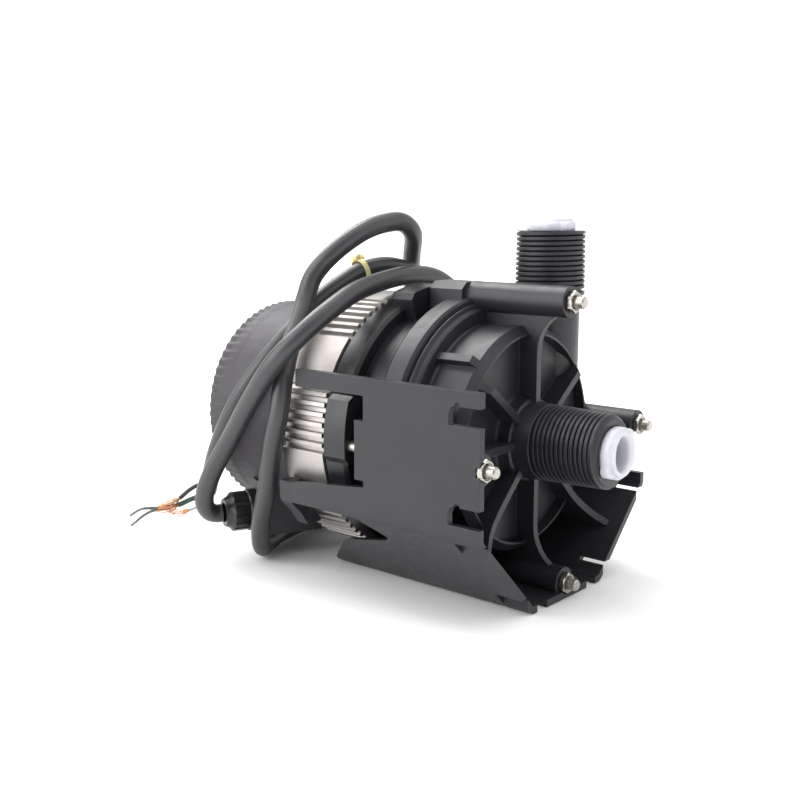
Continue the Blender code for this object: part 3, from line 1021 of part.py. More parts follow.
# Places the lead passes on its way round the motor, in millimetres: across, station and height above the axis
CORD_ROUTE = [
    (-65.4, 157.2, -43.0), (-69.6, 155.2, -37.6), (-71.2, 151.4, -29.4), (-70.0, 146.0, -18.5),
    (-68.0, 137.8, -5.5), (-68.8, 122.6, 13.9), (-69.9, 105.2, 33.0), (-61.4, 95.6, 45.8),
    (-49.6, 91.4, 54.9), (-33.0, 91.2, 62.0), (-11.1, 92.2, 66.1), (5.8, 92.6, 67.3), (20.7, 92.4, 66.0),
    (32.0, 92.0, 61.4), (44.5, 91.8, 53.0), (56.0, 92.0, 39.5), (64.4, 93.4, 21.5), (67.4, 97.0, 2.0),
    (66.2, 104.0, -15.5), (61.5, 115.0, -32.0), (53.5, 127.5, -46.0), (40.5, 140.0, -56.0), (22.5, 151.0, -61.0),
    (0.0, 156.2, -61.75), (-24.0, 151.6, -61.75), (-41.4, 143.6, -61.7), (-50.4, 137.0, -59.8),
    (-55.4, 132.6, -52.0), (-58.4, 128.0, -40.5), (-61.4, 120.6, -26.0), (-64.8, 112.8, -5.5), (-64.6, 108.6, 10.0),
    (-61.6, 108.6, 24.6), (-54.8, 111.4, 37.2), (-45.4, 114.4, 49.0), (-38.6, 117.4, 58.0), (-33.0, 117.4, 68.2),
    (-25.6, 111.6, 78.4), (-15.0, 105.5, 86.8), (-4.0, 102.0, 90.8), (6.0, 98.6, 91.6), (15.4, 99.6, 86.0),
    (25.6, 108.6, 76.0), (36.0, 118.0, 65.4), (46.8, 124.0, 52.6), (55.4, 126.0, 37.6), (60.4, 124.0, 24.4),
    (62.7, 120.9, 17.0), (63.9, 113.5, 13.6), (62.9, 106.1, 17.0), (60.8, 103.0, 25.4), (55.6, 101.4, 42.0),
    (46.0, 102.0, 55.6), (33.0, 103.0, 63.6), (20.0, 104.6, 68.0), (8.0, 109.0, 71.0), (-3.0, 114.5, 69.2),
    (-15.0, 118.4, 63.0), (-26.0, 121.2, 56.0), (-35.6, 124.0, 46.8), (-44.0, 128.2, 37.6), (-52.0, 133.6, 26.4),
    (-56.9, 141.5, 13.6), (-58.4, 151.0, -1.5), (-57.6, 159.6, -15.5), (-55.6, 166.4, -27.5), (-53.0, 173.0, -38.0)]
WIRE_ROUTES = {
    "line": [(-57.6, 178.2, -40.2), (-66.0, 181.4, -42.6), (-74.4, 184.6, -44.0), (-80.0, 187.6, -44.4), (-88.7, 190.0, -47.6)],
    "neutral": [(-56.8, 176.0, -43.6), (-64.6, 178.8, -46.0), (-72.6, 182.4, -47.4), (-78.6, 186.0, -48.2), (-87.2, 189.0, -52.4)],
    "ground": [(-53.4, 179.4, -43.8), (-58.6, 182.8, -46.8), (-64.0, 186.4, -48.8), (-68.5, 189.0, -49.2)]}


def smooth_curve(route, reach, turn=math.radians(24)):
    """Points of a Catmull-Rom curve through the route's own points, no further apart than reach or turn."""
    knots = [Vector(p) / 1000 for p in route]
    knots = [knots[0] * 2 - knots[1]] + knots + [knots[-1] * 2 - knots[-2]]
    fine = []
    for before, start, end, after in zip(knots, knots[1:], knots[2:], knots[3:]):
        for step in range(FINE_STEPS):
            t = step / FINE_STEPS
            fine.append(0.5 * (2 * start + (end - before) * t + (2 * before - 5 * start + 4 * end - after) * t ** 2
                               + (3 * start - before - 3 * end + after) * t ** 3))
    fine.append(knots[-2])
    curve = [fine[0]]
    length = 0.0
    heading = fine[1] - fine[0]
    for here, ahead in zip(fine[1:], fine[2:]):
        length += (here - curve[-1]).length if length == 0 else (here - last).length
        last = here
        if length > reach or (ahead - here).angle(heading) > turn:
            curve.append(here)
            length = 0.0
            heading = ahead - here
    curve.append(fine[-1])
    return curve


def tube(name, points, radius, mat, sides=3):
    curve = bpy.data.curves.new(name, "CURVE")
    curve.dimensions = "3D"
    curve.bevel_depth = radius
    curve.bevel_resolution = sides
    curve.use_fill_caps = True
    spline = curve.splines.new("POLY")
    spline.points.add(len(points) - 1)
    for point, place in zip(spline.points, points):
        point.co = (*place, 1)
    obj = bpy.data.objects.new(name, curve)
    add_part(obj, mat)
    return obj


def make_lead():
    """The lead from its gland round the motor to its stripped end."""
    matrix, out = gland_matrix()
    nut_face = 2 * CLEARANCE + GLAND_FLANGE_LENGTH + GLAND_NUT_LENGTH
    start = matrix @ Vector((0, 0, nut_face + CLEARANCE))
    lead_in = matrix @ Vector((0, 0, nut_face + 0.0025))
    route = [tuple(start * 1000), tuple(lead_in * 1000)] + CORD_ROUTE
    points = smooth_curve(route, CORD_REACH)
    tube("power_cord", points, CORD_RADIUS, GREY_CORD)
    end = points[-1]
    heading = (points[-1] - points[-2]).normalized()
    aside = Vector((math.cos(GLAND_TURN), math.sin(GLAND_TURN), 0))
    across = (aside - heading * heading.dot(aside)).normalized()
    colours = {"line": WIRE_BLACK, "neutral": WIRE_WHITE, "ground": WIRE_GREEN}
    for index, (name, places) in enumerate(WIRE_ROUTES.items()):
        turn = Matrix.Rotation(-math.tau * index / 3, 3, heading)
        root = end + heading * CLEARANCE + turn @ across * 0.0019
        path = smooth_curve([tuple(root * 1000), tuple((root + heading * 0.002) * 1000)] + places, WIRE_REACH)
        split = len(path) * 2 // 3
        tube(name + "_wire", path[:split], WIRE_RADIUS, colours[name], sides=2)
        gap = (path[split] - path[split - 1]).normalized() * CLEARANCE
        tube(name + "_core", [path[split - 1] + gap] + path[split:], CORE_RADIUS, COPPER, sides=2)
    return points


def make_tie(points):
    """A closed band round one strand of the lead, its head on top."""
    wanted = Vector(CORD_ROUTE[TIE_PLACE]) / 1000
    start, end = min(zip(points, points[1:]), key=lambda pair: ((pair[0] + pair[1]) / 2 - wanted).length)
    here = (start + end) / 2
    heading = (end - start).normalized()
    up = (Vector((0, 0, 1)) - heading * heading.z).normalized()
    matrix = frame_matrix(here, up, heading.cross(up))
    inner = CORD_RADIUS + CLEARANCE * 2
    band = [(inner, TIE_WIDTH / 2), (inner + TIE_THICKNESS, TIE_WIDTH / 2), (inner + TIE_THICKNESS, -TIE_WIDTH / 2),
            (inner, -TIE_WIDTH / 2)]
    tie = turned("cable_tie", band, matrix, steps=24)
    head = guide_group("tie_head")
    add_guide(box("head", (inner + 0.0004, -0.0028, -TIE_WIDTH * 0.7), (inner + 0.0038, 0.0028, TIE_WIDTH * 0.7), matrix), head)
    boolean(tie, "UNION", head)
    add_part(tie, TIE_YELLOW)


make_casing()
make_plugs()
make_fasteners()
make_motor_flange()
make_motor_shell()
make_rear_cap()
make_gland()
make_rotor()
make_wet_end_inside()
make_stator()
make_electrics()
make_tie(make_lead())
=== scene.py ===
"""The looks of a spa circulation pump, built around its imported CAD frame.

Everything is in metres in the row frame: the origin is the centre of the base face, +Y runs back along the
pump's axis, +Z is up. Places are laid out in the pump's own terms instead: across (x), station (distance
behind the plane of the mounting faces' front edges) and height above the pump's axis, all in millimetres, and
at() turns them over.
"""

import json
import logging
import math
from dataclasses import dataclass, field
from enum import Enum
from typing import Dict, Iterable, List, Optional, Sequence, Tuple, Union

import bpy
import numpy as np
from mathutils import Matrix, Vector


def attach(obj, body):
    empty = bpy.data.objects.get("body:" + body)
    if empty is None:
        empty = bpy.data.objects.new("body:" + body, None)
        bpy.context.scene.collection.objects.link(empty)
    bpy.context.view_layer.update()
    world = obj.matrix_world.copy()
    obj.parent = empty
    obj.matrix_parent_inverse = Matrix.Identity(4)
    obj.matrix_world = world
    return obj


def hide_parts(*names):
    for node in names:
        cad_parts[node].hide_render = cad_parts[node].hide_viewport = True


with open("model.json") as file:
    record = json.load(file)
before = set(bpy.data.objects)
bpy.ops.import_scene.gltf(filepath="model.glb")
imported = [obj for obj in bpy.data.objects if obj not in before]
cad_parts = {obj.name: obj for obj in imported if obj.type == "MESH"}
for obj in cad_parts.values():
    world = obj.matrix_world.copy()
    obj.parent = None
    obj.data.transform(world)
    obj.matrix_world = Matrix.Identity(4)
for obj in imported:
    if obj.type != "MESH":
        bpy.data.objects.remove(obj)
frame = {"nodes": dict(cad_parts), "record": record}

LOG = logging.getLogger("pump_scene")

Point = Tuple[float, float, float]
Skin = Tuple[np.ndarray, List[List[int]]]
Row = Tuple[Union[float, np.ndarray], float]
Socket = bpy.types.NodeSocket

RIGHT, BACK, UP = Vector((1, 0, 0)), Vector((0, 1, 0)), Vector((0, 0, 1))
# Height of the pump's axis over its base, and place of station nought along Y, in metres.
AXIS_HEIGHT = 0.0662
FRONT_PLANE = -0.0295
# Middles of the ports' end faces and of the four bolts; stations of the bosses' faces and the bolts' ends.
SUCTION_MOUTH = (0.0, -19.5, 0.0)
DISCHARGE_MOUTH = (36.5, 36.0, 88.0)
BOLTS = {"right": (60.0, 0.0), "top": (0.0, 60.0), "left": (-60.0, 0.0), "bottom": (0.0, -60.0)}
BOSS_STATION = 1.7
STUD_STATION = -4.9

# Pitch and depth of the ports' threads, in metres: 11.5 turns to the inch, as on 1 inch pipe.
PIPE_PITCH = 0.00221
PIPE_DEPTH = 0.0012

# The lead's radius, in metres.
CORD_RADIUS = 0.0044
# Across, station and height of its middle line, from the gland to the stripped end.
CORD_ROUTE = [
    (-59.25, 155.55, -44.8), (-61.52, 156.6, -44.8), (-65.4, 157.2, -43.0), (-69.6, 155.2, -37.6),
    (-71.2, 151.4, -29.4), (-70.0, 146.0, -18.5), (-68.0, 137.8, -5.5), (-68.8, 122.6, 13.9),
    (-69.9, 105.2, 33.0), (-61.4, 95.6, 45.8), (-49.6, 91.4, 54.9), (-33.0, 91.2, 62.0),
    (-11.1, 92.2, 66.1), (5.8, 92.6, 67.3), (20.7, 92.4, 66.0), (32.0, 92.0, 61.4), (44.5, 91.8, 53.0),
    (56.0, 92.0, 39.5), (64.4, 93.4, 21.5), (67.4, 97.0, 2.0), (66.2, 104.0, -15.5), (61.5, 115.0, -32.0),
    (53.5, 127.5, -46.0), (40.5, 140.0, -56.0), (22.5, 151.0, -61.0), (0.0, 156.2, -61.75),
    (-24.0, 151.6, -61.75), (-41.4, 143.6, -61.7), (-50.4, 137.0, -59.8), (-55.4, 132.6, -52.0),
    (-58.4, 128.0, -40.5), (-61.4, 120.6, -26.0), (-64.8, 112.8, -5.5), (-64.6, 108.6, 10.0),
    (-61.6, 108.6, 24.6), (-54.8, 111.4, 37.2), (-45.4, 114.4, 49.0), (-38.6, 117.4, 58.0),
    (-33.0, 117.4, 68.2), (-25.6, 111.6, 78.4), (-15.0, 105.5, 86.8), (-4.0, 102.0, 90.8),
    (6.0, 98.6, 91.6), (15.4, 99.6, 86.0), (25.6, 108.6, 76.0), (36.0, 118.0, 65.4), (46.8, 124.0, 52.6),
    (55.4, 126.0, 37.6), (60.4, 124.0, 24.4), (62.7, 120.9, 17.0), (63.9, 113.5, 13.6), (62.9, 106.1, 17.0),
    (60.8, 103.0, 25.4), (55.6, 101.4, 42.0), (46.0, 102.0, 55.6), (33.0, 103.0, 63.6), (20.0, 104.6, 68.0),
    (8.0, 109.0, 71.0), (-3.0, 114.5, 69.2), (-15.0, 118.4, 63.0), (-26.0, 121.2, 56.0),
    (-35.6, 124.0, 46.8), (-44.0, 128.2, 37.6), (-52.0, 133.6, 26.4), (-56.9, 141.5, 13.6),
    (-58.4, 151.0, -1.5), (-57.6, 159.6, -15.5), (-55.6, 166.4, -27.5), (-53.0, 173.0, -38.0)]


def at(across: float, station: float, height: float) -> Vector:
    """Turns the pump's own millimetres into a point of the row frame.

    Args:
        across: millimetres to the right of the axis, seen from the front.
        station: millimetres behind the mounting faces' front edges.
        height: millimetres above the axis.

    Returns:
        The point in metres.
    """
    return Vector((across / 1000, FRONT_PLANE + station / 1000, AXIS_HEIGHT + height / 1000))


def linear(hex_colour: str) -> Tuple[float, float, float, float]:
    """Turns an sRGB colour into the linear values a shader takes.

    Args:
        hex_colour: six hexadecimal digits with a leading hash.

    Returns:
        Red, green, blue and alpha, linear, alpha being one.
    """
    channels = [int(hex_colour[i:i + 2], 16) / 255 for i in (1, 3, 5)]
    values = [c / 12.92 if c <= 0.04045 else ((c + 0.055) / 1.055) ** 2.4 for c in channels]
    return values[0], values[1], values[2], 1.0


def fit(piece: bpy.types.Object, material: bpy.types.Material, body: str = "pump",
        node: Optional[str] = None) -> None:
    """Finishes a piece, hangs it under its body's empty, and hides the CAD node it stands for.

    Args:
        piece: the new piece.
        material: its finish.
        body: the body it moves with.
        node: the CAD node it stands for, if any.
    """
    piece.data.materials.append(material)
    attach(piece, body)
    if node:
        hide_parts(node)
    LOG.info("piece %s in %s", piece.name, material.name)


def around(steps: int) -> np.ndarray:
    """Angles evenly spaced round a full turn."""
    return np.arange(steps) * math.tau / steps


def along_path(path: np.ndarray) -> np.ndarray:
    """Distance of each of a path's points from its start, the path being an N by 3 array."""
    return np.concatenate([[0], np.cumsum(np.linalg.norm(np.diff(path, axis=0), axis=1))])


class Grain(Enum):
    """How a finish's fine surface is laid out."""

    MOULDED = "moulded"
    TURNED = "turned"
    DRAWN = "drawn"
    PLATED = "plated"
    JACKET = "jacket"
    PLAIN = "plain"


@dataclass(frozen=True)
class Finish:
    """One material's visible properties.

    Args:
        name: the material's name in Blender.
        colour: sRGB hexadecimal colour.
        roughness: mean roughness.
        metallic: one for bare metal.
        grain: the kind of fine surface.
        grain_scale: the fine surface's frequency, per metre.
        bump: height of the fine surface, in metres.
        variation: how far the colour drifts, as a share.
        edge: radius that sharp edges are rounded to, in metres.
        painted_edge_highlight: how much paler the rounded edges are painted, a painted highlight along every
            edge.
        coat: weight of a clear top layer.
        translucency: weight of light carried under the surface.
        specular: level of the dielectric reflection.
    """

    name: str
    colour: str
    roughness: float
    metallic: float = 0.0
    grain: Grain = Grain.PLAIN
    grain_scale: float = 1500.0
    bump: float = 0.0
    variation: float = 0.0
    edge: float = 0.0
    painted_edge_highlight: float = 0.0
    coat: float = 0.0
    translucency: float = 0.0
    specular: float = 0.5


class Look(Enum):
    """Every finish on the pump.

    A grain scale of 2600 per metre draws grains 0.4 mm wide, and one of 1100 lines 0.9 mm apart. The real
    ones are 0.05 to 0.2 mm, too fine to show from the camera, so each is drawn as coarse as it needs to show.
    """

    #     Glass-filled nylon, moulded in a fine-sparked tool: near black, satin, faintly grained, its edges
    #     painted pale as a highlight.
    MOULDING = Finish("glass_filled_nylon_moulded", "#222126", 0.42, grain=Grain.MOULDED, grain_scale=2600,
                      bump=0.00002, variation=0.16, edge=0.00035, painted_edge_highlight=0.35, specular=0.42)
    # The same nylon on the motor ring, a little glossier where the tool was polished.
    RING = Finish("nylon_ring_moulded", "#19181c", 0.34, grain=Grain.MOULDED, grain_scale=2600, bump=0.000015,
                  variation=0.16, edge=0.0004, painted_edge_highlight=0.3, specular=0.45)
    # Polyester cap with a coarse matt texture: a dusty, warm charcoal with hardly any highlight.
    CAP = Finish("polyester_cap_textured", "#332f34", 0.58, grain=Grain.MOULDED, grain_scale=1700,
                 bump=0.00004, variation=0.12, edge=0.0003, painted_edge_highlight=0.2, specular=0.5)
    # Nylon gland, polished tool: deep black with small sharp highlights on its ribs.
    GLAND = Finish("nylon_gland_moulded", "#1d1d20", 0.34, grain=Grain.MOULDED, grain_scale=3000,
                   bump=0.00001, variation=0.1, edge=0.0003, painted_edge_highlight=0.2)
    # Bare extruded aluminium: pale grey, its draw lines along the fins spread the highlight across them.
    ALUMINIUM = Finish("aluminium_extruded", "#b3afac", 0.48, metallic=1.0, grain=Grain.DRAWN,
                       grain_scale=1100, bump=0.000012, variation=0.08, edge=0.0002)
    # Zinc-plated steel: bright but slightly cloudy, cool with a hint of yellow.
    ZINC = Finish("steel_zinc_plated", "#aeaba3", 0.33, metallic=1.0, grain=Grain.PLATED, grain_scale=1400,
                  bump=0.000003, variation=0.08, edge=0.00015)
    # Natural polyethylene, moulded soft: milky, lets light through its thin walls.
    PLUG = Finish("polyethylene_natural_moulded", "#c2c3ca", 0.36, grain=Grain.MOULDED, grain_scale=900,
                  bump=0.00003, variation=0.04, edge=0.0004, translucency=0.45)
    # Thermoplastic rubber lead, extruded: charcoal with a long satin streak.
    CORD = Finish("rubber_jacket_extruded", "#2d2d30", 0.38, grain=Grain.JACKET, grain_scale=1500,
                  bump=0.00001, variation=0.1, specular=0.65)
    # Wire insulation, extruded thin and smooth: one wire dark, one dark green, one pale.
    WIRE_DARK = Finish("pvc_wire_dark", "#2b2827", 0.45, grain=Grain.JACKET, grain_scale=3000, bump=0.00001)
    WIRE_PALE = Finish("pvc_wire_pale", "#9fb3ab", 0.45, grain=Grain.JACKET, grain_scale=3000, bump=0.00001)
    WIRE_GREEN = Finish("pvc_wire_green", "#31453f", 0.45, grain=Grain.JACKET, grain_scale=3000, bump=0.00001)
    # Fresh bare copper, drawn fine: orange, with a bright line along each strand.
    COPPER = Finish("copper_drawn", "#f2b487", 0.34, metallic=1.0, grain=Grain.PLATED, grain_scale=3000,
                    variation=0.12)
    # Copper dipped in solder: a dull cool grey.
    TINNED = Finish("copper_tinned", "#85878a", 0.38, metallic=1.0, grain=Grain.PLATED, grain_scale=3000,
                    variation=0.1)
    # Undyed nylon tie gone pale yellow: waxy, a little light goes through.
    TIE = Finish("nylon_tie_moulded", "#d9cd92", 0.42, grain=Grain.MOULDED, grain_scale=1500, bump=0.00001,
                 edge=0.0002, translucency=0.2)
    # The hidden pieces have the look of their own stock, seen when the model is taken apart. Off-white, waxy.
    NATURAL = Finish("polypropylene_natural", "#c6c4bd", 0.4, grain=Grain.MOULDED, variation=0.06,
                     edge=0.0002)
    # Sintered and ground: dark grey, dull.
    FERRITE = Finish("ferrite_ground", "#3b3b3e", 0.55, grain=Grain.MOULDED, variation=0.15)
    # Fired and polished: ivory with a wet shine.
    CERAMIC = Finish("alumina_polished", "#efece4", 0.2, coat=0.3)
    # Pressed carbon, machined: near black, dull.
    CARBON = Finish("carbon_machined", "#2b2b2d", 0.5, grain=Grain.MOULDED, variation=0.12)
    # Deep-drawn stainless sheet: bright, with fine lines round it.
    STEEL = Finish("stainless_drawn", "#b9b9b8", 0.3, metallic=1.0, grain=Grain.TURNED, grain_scale=1200,
                   bump=0.000004)
    # Stacked electrical sheet: the sheets' edges show as fine lines.
    LAMINATION = Finish("silicon_steel_stacked", "#77797b", 0.5, metallic=1.0, grain=Grain.TURNED,
                        grain_scale=2200, bump=0.00001)
    # Moulded nitrile rubber: black, matt.
    RUBBER = Finish("nitrile_moulded", "#141414", 0.7, grain=Grain.MOULDED, variation=0.1)
    # Moulded polyester case: mid grey, satin.
    CAPACITOR = Finish("capacitor_case_moulded", "#5c5f63", 0.42, grain=Grain.MOULDED, variation=0.05)
    # Moulded melamine: cream, satin.
    TERMINAL = Finish("melamine_moulded", "#cfc9b6", 0.45, grain=Grain.MOULDED, variation=0.05)
    # Painted sweep the pump stands on: plain, matt, almost white.
    FLOOR = Finish("floor_paint_matt", "#f2f2f2", 0.75, grain=Grain.MOULDED, grain_scale=400, bump=0.00002,
                   specular=0.2)


class NodeTree:
    """A material's or world's node tree while it is being filled."""

    def __init__(self, owner: bpy.types.ID) -> None:
        """Opens the tree of a material or world.

        Args:
            owner: the material or world.
        """
        owner.use_nodes = True
        self.tree = owner.node_tree
        self.shader = self.tree.nodes.get("Principled BSDF")

    def add(self, kind: str, links: Optional[Dict[Union[str, int], Socket]] = None,
            **values: object) -> bpy.types.Node:
        """Adds one node, links its inputs and sets its values.

        Args:
            kind: the node's type, without its ShaderNode prefix.
            links: output sockets by the name or number of the input they feed.
            values: node properties, or input defaults written in_Name with underscores for blanks, or in_6.

        Returns:
            The new node.
        """
        node = self.tree.nodes.new("ShaderNode" + kind)
        for key, value in values.items():
            if not key.startswith("in_"):
                setattr(node, key, value)
        for key, value in values.items():
            if key.startswith("in_"):
                name = key[3:].replace("_", " ")
                node.inputs[int(name) if name.isdigit() else name].default_value = value
        for name, socket in (links or {}).items():
            self.tree.links.new(socket, node.inputs[name])
        return node

    def feed(self, name: str, socket: Socket) -> None:
        """Links an output socket to one of the surface shader's inputs."""
        self.tree.links.new(socket, self.shader.inputs[name])


@dataclass
class FinishLibrary:
    """Builds each finish's material once and hands it out.

    Args:
        drift: frequency of the slow drift of colour, per metre: patches some 18 mm across.
        scuff: frequency of the drift of roughness, per metre: patches some 5 mm across.
        noise_span: the part of a noise's range that is stretched over the whole of an effect.
        edge_span: cosines between the true and the rounded normal, where the painted edge highlight starts
            and where it is full.
        painted_edge_gain: gain on the painted edge highlight, so that its thin pale line shows at a full
            edge.
        rough_share: how far the roughness drifts, as a share of the colour's variation.
        edge_samples: rays that round one edge.
        milk_depth: how far red, green and blue light go under a translucent surface, in metres.
        made: the materials that are built so far.
    """

    drift: float = 55.0
    scuff: float = 210.0
    noise_span: Tuple[float, float] = (0.3, 0.7)
    edge_span: Tuple[float, float] = (0.995, 0.75)
    painted_edge_gain: float = 4.0
    rough_share: float = 0.35
    edge_samples: int = 6
    milk_depth: Point = (0.004, 0.004, 0.005)
    made: Dict[Look, bpy.types.Material] = field(default_factory=dict)

    def get(self, look: Look) -> bpy.types.Material:
        """The material of a finish.

        Args:
            look: which finish.

        Returns:
            The Blender material, built at its first use.
        """
        if look not in self.made:
            self.made[look] = self._build(look.value)
        return self.made[look]

    def _build(self, finish: Finish) -> bpy.types.Material:
        """Makes a finish's material.

        Args:
            finish: what is being built.

        Returns:
            The material, its patterns on object coordinates.
        """
        material = bpy.data.materials.new(finish.name)
        nodes = NodeTree(material)
        shader = nodes.shader.inputs
        shader["Base Color"].default_value = linear(finish.colour)
        shader["Roughness"].default_value = finish.roughness
        shader["Metallic"].default_value = finish.metallic
        shader["Coat Weight"].default_value = finish.coat
        shader["Specular IOR Level"].default_value = finish.specular
        if finish.translucency:
            shader["Subsurface Weight"].default_value = finish.translucency
            shader["Subsurface Radius"].default_value = self.milk_depth
            shader["Subsurface Scale"].default_value = 1.0
        place = nodes.add("TexCoord").outputs["Object"]
        normal = None
        if finish.edge:
            normal = nodes.add("Bevel", in_Radius=finish.edge, samples=self.edge_samples).outputs["Normal"]
        if finish.variation:
            self._vary(nodes, finish, place, normal if finish.painted_edge_highlight else None)
        if finish.bump:
            links = {"Height": self._relief(nodes, finish, place)}
            if normal is not None:
                links["Normal"] = normal
            normal = nodes.add("Bump", links, in_Strength=1.0, in_Distance=finish.bump).outputs["Normal"]
        if normal is not None:
            nodes.feed("Normal", normal)
        return material

    def _vary(self, nodes: NodeTree, finish: Finish, place: Socket, rounded: Optional[Socket]) -> None:
        """Slow drifts of colour and roughness, and a painted highlight: edges painted paler where the rounded
        normal leaves the true one.

        Args:
            nodes: the material's tree.
            finish: what is being built.
            place: object coordinates.
            rounded: the rounded edges' normal, or None for a finish without a painted edge highlight.
        """
        low, high = self.noise_span
        drift = nodes.add("TexNoise", {"Vector": place}, in_Scale=self.drift, in_Detail=4.0,
                          in_Roughness=0.55)
        shade = nodes.add("MapRange", {"Value": drift.outputs["Fac"]}, in_From_Min=low, in_From_Max=high,
                          in_To_Min=1 - finish.variation, in_To_Max=1 + finish.variation)
        factor = shade.outputs["Result"]
        # Painted highlight: every rounded edge is painted paler, the same under any light.
        if rounded is not None:
            true = nodes.add("NewGeometry").outputs["Normal"]
            agree = nodes.add("VectorMath", {0: true, 1: rounded}, operation="DOT_PRODUCT").outputs["Value"]
            start, full = self.edge_span
            edge = nodes.add("MapRange", {"Value": agree}, in_From_Min=start, in_From_Max=full, in_To_Min=0.0,
                             in_To_Max=finish.painted_edge_highlight * self.painted_edge_gain).outputs["Result"]
            factor = nodes.add("Math", {0: factor, 1: edge}, operation="ADD").outputs[0]
        tint = nodes.add("Mix", {7: factor}, data_type="RGBA", blend_type="MULTIPLY", in_0=1.0,
                         in_6=linear(finish.colour))
        nodes.feed("Base Color", tint.outputs[2])
        scuff = nodes.add("TexNoise", {"Vector": place}, in_Scale=self.scuff, in_Detail=5.0, in_Roughness=0.6)
        spread = self.rough_share * finish.variation
        rough = nodes.add("MapRange", {"Value": scuff.outputs["Fac"]}, in_From_Min=low, in_From_Max=high,
                          in_To_Min=finish.roughness - spread, in_To_Max=finish.roughness + spread)
        nodes.feed("Roughness", rough.outputs["Result"])

    @staticmethod
    def _relief(nodes: NodeTree, finish: Finish, place: Socket) -> Socket:
        """A noise for the fine surface, stretched round the axis if turned and along it if drawn.

        Args:
            nodes: the material's tree.
            finish: what is being built.
            place: object coordinates.

        Returns:
            The height, from zero to one.
        """
        stretch = {Grain.TURNED: (0.04, 1.0, 0.04), Grain.DRAWN: (1.0, 0.03, 1.0)}.get(finish.grain)
        if stretch:
            place = nodes.add("Mapping", {"Vector": place}, in_Scale=stretch).outputs["Vector"]
        cloud = 0.4 if finish.grain is Grain.PLATED else 0.0
        return nodes.add("TexNoise", {"Vector": place}, in_Scale=finish.grain_scale, in_Detail=3.0,
                         in_Roughness=0.6, in_Distortion=cloud).outputs["Fac"]


